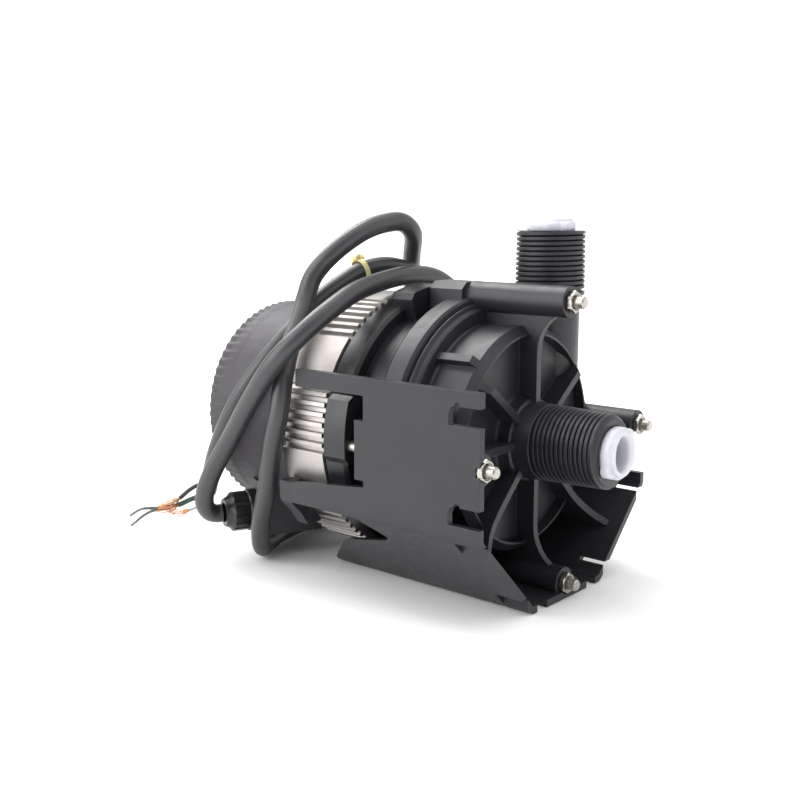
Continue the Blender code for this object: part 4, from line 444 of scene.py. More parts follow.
class Surface:
    """Parametric grids and sweeps turned into meshes with numpy."""

    @staticmethod
    def outward(skin: Skin) -> Skin:
        """Turns a closed skin so that it faces outwards.

        Its signed volume is a sixth of the sum of a . (b x c) over its faces, cut into triangles a, b, c.

        Args:
            skin: points and faces, all wound the same way.

        Returns:
            The same points, with the faces turned round if the volume was negative.
        """
        points, faces = skin
        fans = np.array([(f[0], b, c) for f in faces for b, c in zip(f[1:], f[2:])])
        a, b, c = (points[fans[:, i]] for i in range(3))
        inside_out = np.einsum("ij,ij->i", a, np.cross(b, c)).sum() < 0
        return points, [face[::-1] for face in faces] if inside_out else faces

    @classmethod
    def mesh(cls, name: str, skin: Skin, crease: float = 35.0) -> bpy.types.Object:
        """Writes a skin to a new object at the origin.

        Args:
            name: the object's name.
            skin: points in metres in the row frame, and faces all wound the same way.
            crease: edges that turn more than this many degrees stay sharp.

        Returns:
            The new object, linked to the scene.
        """
        points, faces = cls.outward(skin)
        mesh = bpy.data.meshes.new(name)
        mesh.from_pydata(points.tolist(), [], faces)
        mesh.validate()
        mesh.shade_smooth()
        mesh.set_sharp_from_angle(angle=math.radians(crease))
        obj = bpy.data.objects.new(name, mesh)
        bpy.context.scene.collection.objects.link(obj)
        return obj

    @classmethod
    def merged(cls, name: str, node: bpy.types.Object, crease: float = 33.0) -> bpy.types.Object:
        """A copy of a CAD node with its loose triangles joined, so that round faces shade as round.

        Each point is rounded to the micrometre, and equal points become one.

        Args:
            name: the copy's name.
            node: the CAD node, which is left alone.
            crease: edges that turn more than this many degrees stay sharp.

        Returns:
            The copy, with normals weighted by the faces' areas.
        """
        source = node.data
        points = np.empty(len(source.vertices) * 3)
        source.vertices.foreach_get("co", points)
        corners = np.empty(len(source.loops), dtype=np.int64)
        source.loops.foreach_get("vertex_index", corners)
        rounded, index = np.unique(np.round(points.reshape(-1, 3), 6), axis=0, return_inverse=True)
        faces = index.reshape(-1)[corners].reshape(-1, 3)
        whole = (faces[:, 0] != faces[:, 1]) & (faces[:, 1] != faces[:, 2]) & (faces[:, 2] != faces[:, 0])
        copy = cls.mesh(name, (rounded, faces[whole].tolist()), crease)
        weighted = copy.modifiers.new("weighted", "WEIGHTED_NORMAL")
        weighted.keep_sharp = True
        weighted.weight = 60
        return copy

    @staticmethod
    def lofted(sections: np.ndarray, ring: bool = False) -> Skin:
        """Joins closed sections one after the other into a closed skin.

        Args:
            sections: an array of shape (sections, sides, 3).
            ring: whether the last section is joined to the first; otherwise both are filled.

        Returns:
            The skin.
        """
        count, sides = sections.shape[:2]
        i, j = np.indices((count if ring else count - 1, sides))
        on, beside = (i + 1) % count, (j + 1) % sides
        quads = np.stack([i * sides + j, i * sides + beside, on * sides + beside, on * sides + j], axis=-1)
        faces = quads.reshape(-1, 4).tolist()
        if not ring:
            faces += [list(range(sides))[::-1], list(range((count - 1) * sides, count * sides))]
        return sections.reshape(-1, 3), faces

    @classmethod
    def joined(cls, skins: Iterable[Skin]) -> Skin:
        """Puts closed skins together into one, each turned outwards.

        Args:
            skins: the skins.

        Returns:
            One skin that holds them all.
        """
        points: List[np.ndarray] = []
        faces: List[List[int]] = []
        shift = 0
        for skin in skins:
            part, part_faces = cls.outward(skin)
            faces += [[i + shift for i in face] for face in part_faces]
            points.append(part)
            shift += len(part)
        return np.vstack(points), faces

    @classmethod
    def turned(cls, name: str, centre: Vector, rows: Sequence[Row], steps: int,
               crease: float) -> bpy.types.Object:
        """A closed ring turned about a line along Y: P(i, a) = C + (r(i, a) cos a, -s(i), r(i, a) sin a).

        Args:
            name: the object's name.
            centre: the point C on the axis.
            rows: for each row its radius, one number or one for each angle, and distance s in front of C.
            steps: points round the ring.
            crease: edges that turn more than this many degrees stay sharp.

        Returns:
            The new object, its last row joined to its first.
        """
        angles = around(steps)
        sections = np.empty((len(rows), steps, 3))
        for i, (radius, ahead) in enumerate(rows):
            sections[i, :, 0] = centre[0] + radius * np.cos(angles)
            sections[i, :, 1] = centre[1] - ahead
            sections[i, :, 2] = centre[2] + radius * np.sin(angles)
        return cls.mesh(name, cls.lofted(sections, ring=True), crease)

    @staticmethod
    def transported(path: np.ndarray) -> Tuple[np.ndarray, np.ndarray]:
        """Frames that slide along a path without twisting about it.

        Each normal is the last one less its part along the new tangent T: N(i) = norm(N(i-1) - (N(i-1).T) T).

        Args:
            path: an N by 3 array of points.

        Returns:
            Normals and binormals, each N by 3.
        """
        tangents = np.gradient(path, axis=0)
        tangents /= np.linalg.norm(tangents, axis=1)[:, None]
        start = np.cross(tangents[0], (0.0, 0.0, 1.0))
        if np.linalg.norm(start) < 1e-4:
            start = np.array((1.0, 0.0, 0.0))
        normals = np.empty_like(path)
        last = start / np.linalg.norm(start)
        for i, tangent in enumerate(tangents):
            last = last - tangent * np.dot(last, tangent)
            last = last / np.linalg.norm(last)
            normals[i] = last
        return normals, np.cross(tangents, normals)

    @staticmethod
    def hoops(normals: np.ndarray, binormals: np.ndarray, sides: int) -> np.ndarray:
        """Unit circles square to a path, an N by sides by 3 array: N(t) cos a + B(t) sin a."""
        angles = around(sides)[:, None]
        return normals[:, None] * np.cos(angles) + binormals[:, None] * np.sin(angles)

    @classmethod
    def swept(cls, path: np.ndarray, reach: Union[float, np.ndarray], sides: int) -> Skin:
        """A closed tube, r one number or N by sides: P(t, a) = C(t) + r(t, a) (N(t) cos a + B(t) sin a)."""
        hoops = cls.hoops(*cls.transported(path), sides)
        return cls.lofted(path[:, None] + np.broadcast_to(reach, hoops.shape[:2])[..., None] * hoops)


def smooth_path(route: Iterable[Sequence[float]], spacing: float, per_span: int = 24) -> np.ndarray:
    """Even points along a Catmull-Rom curve through route points given in the pump's millimetres.

    Between knots P1 and P2 the curve is
    0.5 (2 P1 + (P2 - P0) t + (2 P0 - 5 P1 + 4 P2 - P3) t^2 + (3 P1 - P0 - 3 P2 + P3) t^3).

    Args:
        route: across, station and height of each knot.
        spacing: wanted distance between points, in metres.
        per_span: how many points of the curve are worked out between two knots.

    Returns:
        An N by 3 array in the row frame, in metres.
    """
    knots = np.array([tuple(at(*p)) for p in route])
    knots = np.vstack([2 * knots[0] - knots[1], knots, 2 * knots[-1] - knots[-2]])
    t = np.linspace(0, 1, per_span, endpoint=False)[:, None]
    runs = []
    for p0, p1, p2, p3 in zip(knots, knots[1:], knots[2:], knots[3:]):
        runs.append(0.5 * (2 * p1 + (p2 - p0) * t + (2 * p0 - 5 * p1 + 4 * p2 - p3) * t ** 2
                           + (3 * p1 - p0 - 3 * p2 + p3) * t ** 3))
    fine = np.vstack(runs + [knots[-2:-1]])
    distance = along_path(fine)
    wanted = np.linspace(0, distance[-1], max(3, int(round(distance[-1] / spacing)) + 1))
    return np.column_stack([np.interp(wanted, distance, fine[:, i]) for i in range(3)])


@dataclass
class Thread:
    """An outside thread laid over a port's or a bolt's root.

    Args:
        name: the piece's name.
        origin: centre of the threaded end's face.
        axis: unit vector that points back from that face.
        start: distance from the face to the first turn, in metres.
        length: threaded length.
        pitch: distance between turns.
        crest_start: crest radius at the first turn.
        crest_end: crest radius at the last turn.
        depth: height of the thread.
        lip: no part of the thread stands nearer to the face than this.
        sunk: how far the thread's foot lies under its root, as a share of the depth.
        margin: how far the ridge's middle keeps from both ends of the threaded length, in pitches.
    """

    name: str
    origin: Vector
    axis: Vector
    start: float
    length: float
    pitch: float
    crest_start: float
    crest_end: float
    depth: float
    lip: float = -1.0
    sunk: float = 0.12
    margin: float = 0.45

    def build(self, steps: int = 64) -> bpy.types.Object:
        """Sweeps a flat-topped ridge along P(u) = O + A (s0 + p u / tau) + r (X cos u + Y sin u).

        The root's radius grows evenly with the station, and the ridge's height rises from next to nothing
        over its first and last quarter turns. Its section is given by distance along the axis, in pitches,
        and by height over the root, in depths: foot, flank and crest, then back down.

        Args:
            steps: points per turn.

        Returns:
            The thread as one closed object.
        """
        axis = np.array(self.axis)
        side = np.cross(axis, (0.0, 0.0, 1.0) if abs(axis[2]) < 0.9 else (1.0, 0.0, 0.0))
        side /= np.linalg.norm(side)
        other = np.cross(axis, side)
        turns = self.length / self.pitch - 2 * self.margin
        u = np.linspace(0, turns * math.tau, int(turns * steps))
        fade = np.clip(np.minimum(u, u[-1] - u) / (math.tau / 4), 0.04, 1)
        station = self.start + self.margin * self.pitch + self.pitch * u / math.tau
        root = self.crest_start - self.depth
        root = root + (self.crest_end - self.crest_start) * (station - self.start) / self.length
        spin = np.cos(u)[:, None] * side + np.sin(u)[:, None] * other
        half = [(-0.48, -self.sunk), (-0.31, 0.94), (-0.25, 1.0)]
        shape = half + [(-along, rise) for along, rise in half[::-1]]
        sections = np.empty((len(u), len(shape), 3))
        for k, (along, rise) in enumerate(shape):
            height = root + self.depth * rise * (fade if rise > 0 else 1)
            place = np.maximum(station + along * self.pitch, self.lip)
            sections[:, k] = np.array(self.origin) + place[:, None] * axis + height[:, None] * spin
        return Surface.mesh(self.name, Surface.lofted(sections), crease=28)


@dataclass
class HexNut:
    """A thin hexagon nut with chamfered corners and a front face dished inside a raised rim.

    Args:
        name: the piece's name.
        centre: centre of its rear face.
        across_flats: width over the flats, in metres.
        length: thickness.
        bore: radius of the hole.
        turn: angle of one corner, in radians.
        dish: how far the front face lies inside its rim.
        chamfer: height of the cone that takes the corners off.
        rim: radii where the rim's top starts and ends and where the dish starts, as shares of half the width.
    """

    name: str
    centre: Vector
    across_flats: float = 0.0083
    length: float = 0.0023
    bore: float = 0.00278
    turn: float = math.radians(30)
    dish: float = 0.0006
    chamfer: float = 0.0004
    rim: Point = (0.98, 0.86, 0.78)

    def build(self, steps: int = 96) -> bpy.types.Object:
        """Turns a profile whose radius is cut by the flats: r(a, s) = min(h / cos(a mod 60 - 30), c(s)).

        h is half the width over the flats and c(s) a cone that takes the corners off at both ends. The rows
        run from the bore's rear edge over the outside and the dish and back into the bore.

        Args:
            steps: points round the nut.

        Returns:
            The nut as one closed ring.
        """
        half = self.across_flats / 2
        angles = around(steps)
        flat = half / np.cos((angles - self.turn) % (math.pi / 3) - math.pi / 6)
        corner = half / math.cos(math.pi / 6)
        front = self.length - self.dish
        outer, inner, dished = (half * share for share in self.rim)
        outside = [(half * 0.99, 0.0), (corner, self.chamfer), (corner, self.length - self.chamfer),
                   (outer, self.length)]
        inside = [(inner, self.length), (dished, front), (self.bore + 0.0003, front),
                  (self.bore, front - 0.0003), (self.bore, 0.0004)]
        cut = [(np.minimum(flat, radius), ahead) for radius, ahead in outside]
        rows = [(self.bore + 0.0004, 0.0)] + cut + inside
        return Surface.turned(self.name, self.centre, rows, steps, crease=25)


@dataclass
class PortCollar:
    """The plain collar between the suction port's thread and the front wall.

    Args:
        mouth: centre of the port's end face.
        start: distance from the end face to the collar, in metres.
        end: distance from the end face to where the collar is sunk in the casing's own.
        radius: its radius at the thread.
        widening: how much wider it is at its other end.
        bore: radius of its inner side, sunk in the port's wall.
        chamfer: size of the chamfer at the thread.
    """

    mouth: Vector
    start: float = 0.0303
    end: float = 0.0395
    radius: float = 0.0163
    widening: float = 0.0007
    bore: float = 0.0138
    chamfer: float = 0.0003

    def build(self, steps: int = 96) -> bpy.types.Object:
        """Turns a plain sleeve with a small chamfer at the thread.

        Args:
            steps: points round the collar.

        Returns:
            The collar as one closed ring.
        """
        rows = [(self.bore, -self.end), (self.radius + self.widening, -self.end),
                (self.radius, -self.start - self.chamfer), (self.radius - self.chamfer, -self.start),
                (self.bore, -self.start)]
        return Surface.turned("suction_port_collar", self.mouth, rows, steps, crease=30)


@dataclass
class ToothedRim:
    """The low rim with small rounded teeth that closes the rear cap.

    Args:
        back: the cap's end along the row frame's Y, in metres.
        radius: the cap's radius in front of the rim.
        proud: how far the rim stands out of the cap.
        depth: depth of the notches between two teeth.
        swell: distances ahead of the cap's end where the rim leaves the wall, is at its full height and
            starts to be notched.
        behind: how far the rim stands behind the cap's end.
        width: how far the rim reaches inwards round the cap's end.
        teeth: how many there are.
    """

    back: float
    radius: float = 0.0513
    proud: float = 0.0004
    depth: float = 0.0009
    swell: Point = (0.0160, 0.0120, 0.0052)
    behind: float = 0.0014
    width: float = 0.0060
    teeth: int = 72

    def build(self, steps: int = 10) -> bpy.types.Object:
        """Turns a profile whose rows with teeth have the radius r(a) = R + o - d (0.5 - 0.5 cos(n a)).

        Args:
            steps: points per tooth.

        Returns:
            The rim as one closed ring, its front and inner sides sunk in the cap's wall.
        """
        angles = around(self.teeth * steps)
        notch = self.depth * (0.5 - 0.5 * np.cos(self.teeth * angles))
        foot, full, notched = self.swell
        profile = [(-0.0006, 0.0, foot), (self.proud, 0.0, full), (self.proud, 0.0, notched),
                   (self.proud, 1.0, notched - 0.0010), (self.proud - 0.0001, 1.0, 0.0010 - self.behind),
                   (-0.0004, 0.5, 0.0002 - self.behind), (-self.width, 0.0, -self.behind),
                   (-self.width, 0.0, 0.0008)]
        rows = [(self.radius + out - share * notch, ahead) for out, share, ahead in profile]
        centre = Vector((0, self.back, AXIS_HEIGHT))
        return Surface.turned("toothed_cap_rim", centre, rows, len(angles), crease=40)


@dataclass
class ShippingPlug:
    """A soft push-in plug: a ribless cup with a flange, two small ears and an oblong finger hole.

    Args:
        name: the piece's name.
        mouth: centre of the port's end face.
        across: unit vector along the hole's short way.
        along: unit vector along the hole's long way.
        outward: unit vector out of the port.
        ear_turn: angle of one ear from across towards along, in radians.
        body_radius: radius inside the port, in metres.
        flange_radius: radius of the flange.
        proud: how far the flange stands out of the port.
        depth: how far the cup reaches in.
        hole: half the hole's short and long widths.
        shift: how far the hole's middle lies off the flange's, against across.
        ear: how far the ears stand out of the flange.
        ear_width: half the turn that an ear takes, in radians.
    """

    name: str
    mouth: Vector
    across: Vector
    along: Vector
    outward: Vector
    ear_turn: float
    body_radius: float = 0.0095
    flange_radius: float = 0.0109
    proud: float = 0.0055
    depth: float = 0.0138
    hole: Tuple[float, float] = (0.0053, 0.0073)
    shift: float = 0.0012
    ear: float = 0.0016
    ear_width: float = 0.24

    def build(self, steps: int = 96) -> bpy.types.Object:
        """Lofts rings P(a) = M + (x cos a) X + (z sin a) Z + w W, the flange's rings widened by two ears.

        An ear adds e exp(-((a - a0) / w0)^4) to the radius at the turn a0 and opposite it.

        Args:
            steps: points round each ring.

        Returns:
            The plug as one closed cup.
        """
        angles = around(steps)
        off = (angles - self.ear_turn + math.pi / 2) % math.pi - math.pi / 2
        bump = self.ear * np.exp(-(off / self.ear_width) ** 4)
        sections = [self._ring(angles, x, z, out, self.shift, 0.0) for x, z, out in self._hole_rows()]
        sections += [self._ring(angles, r, r, out, 0.0, eared * bump) for r, out, eared in self._outer_rows()]
        return Surface.mesh(self.name, Surface.lofted(np.array(sections)), crease=50)

    def _hole_rows(self) -> List[Point]:
        """The hole from its floor up to the flange's face.

        Returns:
            Half the short width, half the long one and the height over the port's end, for each ring.
        """
        x, z = self.hole
        floor = -self.depth
        return [(x - 0.0012, z - 0.0016, floor + 0.0020), (x - 0.0004, z - 0.0006, floor + 0.0024),
                (x, z - 0.0002, 0.0006), (x, z, self.proud - 0.0012),
                (x + 0.0003, z + 0.0003, self.proud - 0.0004), (x + 0.0009, z + 0.0008, self.proud)]

    def _outer_rows(self) -> List[Point]:
        """The face, the step, the eared flange and the body down to the cup's end.

        Returns:
            Radius, height over the port's end and share of the ears, for each ring.
        """
        flange, body, face = self.flange_radius, self.body_radius, self.proud
        return [(flange - 0.0022, face, 0), (flange - 0.0014, face - 0.0003, 0),
                (flange - 0.0011, face - 0.0012, 0), (flange - 0.0003, face - 0.0016, 1),
                (flange, face - 0.0022, 1), (flange, 0.0006, 1), (flange - 0.0004, 0.0001, 1),
                (body, 0.0001, 0), (body, 0.002 - self.depth, 0), (body - 0.001, -self.depth, 0)]

    def _ring(self, angles: np.ndarray, wide: float, tall: float, out: float, shift: float,
              bump: Union[float, np.ndarray]) -> np.ndarray:
        """One ring of the plug.

        Args:
            angles: the ring's angles.
            wide: half its width across.
            tall: half its width along.
            out: its height over the port's end.
            shift: how far it lies off the middle, against across.
            bump: what is added to its radius at each angle.

        Returns:
            Its points.
        """
        reach_x = (wide + bump) * np.cos(angles) - shift
        reach_z = (tall + bump) * np.sin(angles)
        return (np.array(self.mouth) + reach_x[:, None] * np.array(self.across)
                + reach_z[:, None] * np.array(self.along) + out * np.array(self.outward))


@dataclass
class CableTie:
    """A small nylon tie round one strand: a thin band, a ratchet head and the stub of its tail.

    Args:
        centre: the strand's middle.
        heading: unit vector along the strand.
        above: unit vector from the strand's middle to the head.
        strand: the strand's radius, in metres.
        width: the band's width.
        thickness: the band's thickness.
        head: the head's length round the strand, width along it and height.
        tail: the stub's length.
        tail_height: how far the stub starts above the head's foot.
        squareness: exponent q of the rounded rectangles: nearer to nought, the squarer they are.
    """

    centre: np.ndarray
    heading: np.ndarray
    above: np.ndarray
    strand: float = CORD_RADIUS + 0.00015
    width: float = 0.0023
    thickness: float = 0.0009
    head: Point = (0.0040, 0.0068, 0.0026)
    tail: float = 0.0026
    tail_height: float = 0.0016
    squareness: float = 0.4

    def build(self) -> bpy.types.Object:
        """Joins three closed skins, the band, the head and the tail.

        Returns:
            The tie as one object.
        """
        side = np.cross(self.heading, self.above)
        long, wide, high = self.head
        base = self.centre + (self.strand + self.thickness * 0.4) * self.above
        head = self._block(base, high * self.above, side * long / 2, self.heading * wide / 2,
                           [(0.0, 0.86), (0.12, 1.0), (0.85, 1.0), (0.97, 0.93), (1.0, 0.84)])
        tail = self._block(base + self.tail_height * self.above - side * long * 0.45, -side * self.tail,
                           self.heading * self.width / 2, self.above * self.thickness / 2,
                           [(0.0, 1.0), (0.8, 0.95), (1.0, 0.7)])
        skin = Surface.joined([self._band(side), head, tail])
        return Surface.mesh("nylon_cable_tie", skin, crease=40)

    def _band(self, side: np.ndarray, steps: int = 48) -> Skin:
        """The band: P(a, c) = C + r(c) (U cos a + V sin a) + w(c) H, with c round its flat section.

        Args:
            side: unit vector V, square to the strand and to the head's direction.
            steps: points round the strand.

        Returns:
            The band's skin.
        """
        turns = around(steps)[:, None]
        section = [(0.0, -0.5), (0.0, 0.5), (1.0, 0.42), (1.0, -0.42)]
        band = np.empty((steps, len(section), 3))
        for k, (rise, along) in enumerate(section):
            reach = self.strand + rise * self.thickness
            band[:, k] = (self.centre + reach * (np.cos(turns) * self.above + np.sin(turns) * side)
                          + along * self.width * self.heading)
        return Surface.lofted(band, ring=True)

    def _block(self, start: np.ndarray, way: np.ndarray, x: np.ndarray, y: np.ndarray,
               levels: Sequence[Tuple[float, float]], steps: int = 28) -> Skin:
        """A block of rounded rectangles: P(s, a) = F + s W + g(s) (X |cos a|^q + Y |sin a|^q), signs kept.

        Args:
            start: middle of its foot.
            way: vector from its foot to its top.
            x: half its width one way, as a vector.
            y: half its width the other way, as a vector.
            levels: how far along the block each section lies, and its size, as shares.
            steps: points round a section.

        Returns:
            The block's skin.
        """
        turns = around(steps)[:, None]
        wide = np.sign(np.cos(turns)) * np.abs(np.cos(turns)) ** self.squareness
        tall = np.sign(np.sin(turns)) * np.abs(np.sin(turns)) ** self.squareness
        sections = [start + way * share + size * (wide * x + tall * y) for share, size in levels]
        return Surface.lofted(np.array(sections))


@dataclass(frozen=True)
class Wire:
    """One of the three cores that splay out of the lead's end.

    Args:
        name: the start of its pieces' names.
        look: its insulation's finish.
        slot: the record's material slot of its insulation; not used.
        radius: its insulation's radius, in metres.
        insulated: share of its length that keeps its insulation.
        tinned: whether its end is dipped in solder.
        route: across, station and height of its knots.
    """

    name: str
    look: Look
    slot: str
    radius: float
    insulated: float
    tinned: bool
    route: Tuple[Point, ...]


WIRES = (
    Wire("line", Look.WIRE_DARK, "black_wire", 0.00105, 0.40, True, (
        (-54.7, 173.9, -38.0), (-53.4, 176.0, -35.5), (-55.8, 178.5, -36.2), (-58.8, 181.0, -38.6),
        (-61.5, 183.2, -41.5), (-66.0, 184.6, -43.8), (-69.4, 185.6, -44.8), (-73.5, 186.6, -45.1),
        (-77.0, 187.3, -44.7), (-81.0, 188.2, -44.3), (-84.0, 189.0, -45.3), (-86.8, 190.0, -46.9))),
    Wire("neutral", Look.WIRE_GREEN, "white_wire", 0.00125, 0.42, True, (
        (-52.7, 171.6, -38.9), (-52.8, 175.0, -40.3), (-55.8, 178.0, -41.7), (-58.8, 180.5, -43.1),
        (-61.5, 182.5, -44.6), (-66.3, 184.2, -45.7), (-72.0, 186.2, -46.0), (-76.3, 187.6, -46.4),
        (-80.3, 188.6, -48.0), (-83.3, 189.4, -50.0), (-86.4, 190.0, -51.9))),
    Wire("ground", Look.WIRE_PALE, "green_wire", 0.00065, 0.56, False, (
        (-51.5, 174.0, -37.2), (-52.3, 174.6, -42.8), (-54.2, 177.0, -45.7), (-56.6, 179.6, -47.6),
        (-59.5, 182.2, -48.8), (-63.2, 183.8, -49.1), (-66.3, 185.2, -48.1), (-69.6, 186.2, -46.2))))


@dataclass(frozen=True)
class Bundle:
    """A bundle of bare copper strands.

    Args:
        count: how many strands.
        bulge: how far the loosest strand stands off half way, in metres.
        radius: one strand's radius.
    """

    count: int
    bulge: float
    radius: float


@dataclass
class Lead:
    """The grey lead with its stripped end and its tie.

    Args:
        library: where its finishes come from.
        spacing: distance between the jacket's rings, in metres.
        wire_spacing: distance between a wire's rings.
        lay: length over which the cores inside turn once.
        ripple: how far the cores show through the jacket, as a share of its radius.
        tie_spot: across, station and height of the strand's middle under the tie.
        tie_above: direction from that strand to the tie's head.
        loose: a bare end.
        tinned: an end dipped in solder.
        frayed: bright strands that stand off a tinned end.
        fray_share: share of the bare length over which they do.
        pieces: the pieces that go with the jacket.
    """

    library: FinishLibrary
    spacing: float = 0.0018
    wire_spacing: float = 0.0004
    lay: float = 0.06
    ripple: float = 0.005
    tie_spot: Point = (-3.0, 114.3, 69.1)
    tie_above: Point = (0.0, 0.62, 0.78)
    loose: Bundle = Bundle(11, 0.0016, 0.00015)
    tinned: Bundle = Bundle(7, 0.00012, 0.00028)
    frayed: Bundle = Bundle(14, 0.0021, 0.00015)
    fray_share: float = 0.55
    pieces: List[bpy.types.Object] = field(default_factory=list)

    def build(self) -> None:
        path = smooth_path(CORD_ROUTE, self.spacing)
        jacket = self._jacket(path)
        fit(jacket, self.library.get(Look.CORD), node="power_cord")
        for wire in WIRES:
            self._wire(wire)
        self._tie(path)

    def _jacket(self, path: np.ndarray, sides: int = 24) -> bpy.types.Object:
        """The jacket, with a hair of lay from the three cores inside: r = R (1 - e + e cos(3 a - tau d / l)).

        Args:
            path: the lead's middle line, N by 3.
            sides: points round it.

        Returns:
            The jacket.
        """
        wave = np.cos(3 * around(sides) - math.tau * along_path(path)[:, None] / self.lay)
        radius = CORD_RADIUS * (1 - self.ripple + self.ripple * wave)
        return Surface.mesh("power_cord_jacket", Surface.swept(path, radius, sides), crease=60)

    def _tie(self, path: np.ndarray) -> None:
        """Puts the tie where the photograph shows it, its head up and behind the strand.

        Args:
            path: the lead's middle line, N by 3.
        """
        here = int(np.argmin(np.linalg.norm(path - np.array(at(*self.tie_spot)), axis=1)))
        heading = path[here + 1] - path[here - 1]
        heading /= np.linalg.norm(heading)
        above = np.array(self.tie_above)
        above -= heading * np.dot(above, heading)
        tie = CableTie(path[here], heading, above / np.linalg.norm(above))
        self._add(tie.build(), Look.TIE, "cable_tie")

    def _wire(self, wire: Wire) -> None:
        """One wire: its insulation, then loose bare strands, or a tinned end with bright strands frayed out.

        Args:
            wire: which wire.
        """
        path = smooth_path(wire.route, self.wire_spacing)
        split = int(len(path) * wire.insulated)
        skin = Surface.swept(path[:split], wire.radius, sides=16)
        insulation = Surface.mesh(f"{wire.name}_wire_insulation", skin, crease=60)
        self._add(insulation, wire.look, f"{wire.name}_wire")
        rest = path[split - 4:]
        core = f"{wire.name}_core"
        if not wire.tinned:
            self._add(self._strands(f"{wire.name}_strands", rest, self.loose), Look.COPPER, core)
            return
        tinned = self._strands(f"{wire.name}_tinned_end", rest, self.tinned)
        self._add(tinned, Look.TINNED, core)
        start = rest[:int(len(rest) * self.fray_share)]
        fray = self._strands(f"{wire.name}_frayed_strands", start, self.frayed)
        self._add(fray, Look.COPPER)

    def _add(self, piece: bpy.types.Object, look: Look, node: Optional[str] = None) -> None:
        """Finishes a piece of the lead's end, hides the CAD node it stands for, and lists it with the lead.
        """
        fit(piece, self.library.get(look), node=node)
        self.pieces.append(piece)

    @staticmethod
    def _strands(name: str, path: np.ndarray, bundle: Bundle, sides: int = 6) -> bpy.types.Object:
        """Fine strands: P(k, t) = C(t) + (b(k) sin(pi t)^1.3 + q) (N(t) cos(a + w t) + B(t) sin(a + w t)).

        Strand k starts at angle a = tau k / count and stands off by q, the bundle's tight radius, and by its
        own share of the bulge, b(k) = b f(k) with f(k) = 0.25 + 0.75 |sin(2.4 k + 0.7)|. That fixed sine
        gives the same strands in each run. It turns by w = 2.6 - 1.4 f(k), so the loosest turn least.

        Args:
            name: the piece's name.
            path: the bundle's middle, N by 3.
            bundle: how many strands there are, how loose and how thick.
            sides: points round one strand.

        Returns:
            All strands as one object.
        """
        normals, binormals = Surface.transported(path)
        share = np.linspace(0, 1, len(path))[:, None]
        hoops = bundle.radius * Surface.hoops(normals, binormals, sides)
        strands = []
        for k in range(bundle.count):
            loose = 0.25 + 0.75 * abs(math.sin(2.4 * k + 0.7))
            spin = math.tau * k / bundle.count + (2.6 - 1.4 * loose) * share
            reach = bundle.bulge * loose * np.sin(share * math.pi) ** 1.3 + bundle.radius * 1.5 * min(k, 1)
            middle = path + reach * (normals * np.cos(spin) + binormals * np.sin(spin))
            strands.append(Surface.lofted(middle[:, None] + hoops))
        return Surface.mesh(name, Surface.joined(strands), crease=60)


# The finish of each CAD node, by the start of its name; the longest start that fits decides.
NODE_LOOKS = {
    "pump_casing": Look.MOULDING, "motor_flange": Look.RING, "motor_shell": Look.ALUMINIUM,
    "rear_cap": Look.CAP, "gland": Look.GLAND, "through_bolt": Look.ZINC, "hex_nut": Look.ZINC,
    "suction_plug": Look.PLUG, "discharge_plug": Look.PLUG, "cable_tie": Look.TIE, "power_cord": Look.CORD,
    "line_wire": Look.WIRE_DARK, "neutral_wire": Look.WIRE_GREEN, "ground_wire": Look.WIRE_PALE,
    "line_core": Look.COPPER, "neutral_core": Look.COPPER, "ground_core": Look.COPPER,
    "impeller": Look.NATURAL, "shaft_support": Look.NATURAL, "rotor_magnet": Look.FERRITE,
    "shaft_bushing": Look.CARBON, "shaft": Look.CERAMIC, "thrust_washer": Look.CERAMIC,
    "separation_can": Look.STEEL, "casing_o_ring": Look.RUBBER, "stator_core": Look.LAMINATION,
    "stator_coil": Look.COPPER, "run_capacitor": Look.CAPACITOR, "capacitor_holder": Look.TERMINAL,
    "terminal_block": Look.TERMINAL}

# Starts of the names of nodes that a piece of this file's own replaces.
REBUILT = ("power_cord", "line_", "neutral_", "ground_", "hex_nut", "cable_tie", "suction_plug",
           "discharge_plug")


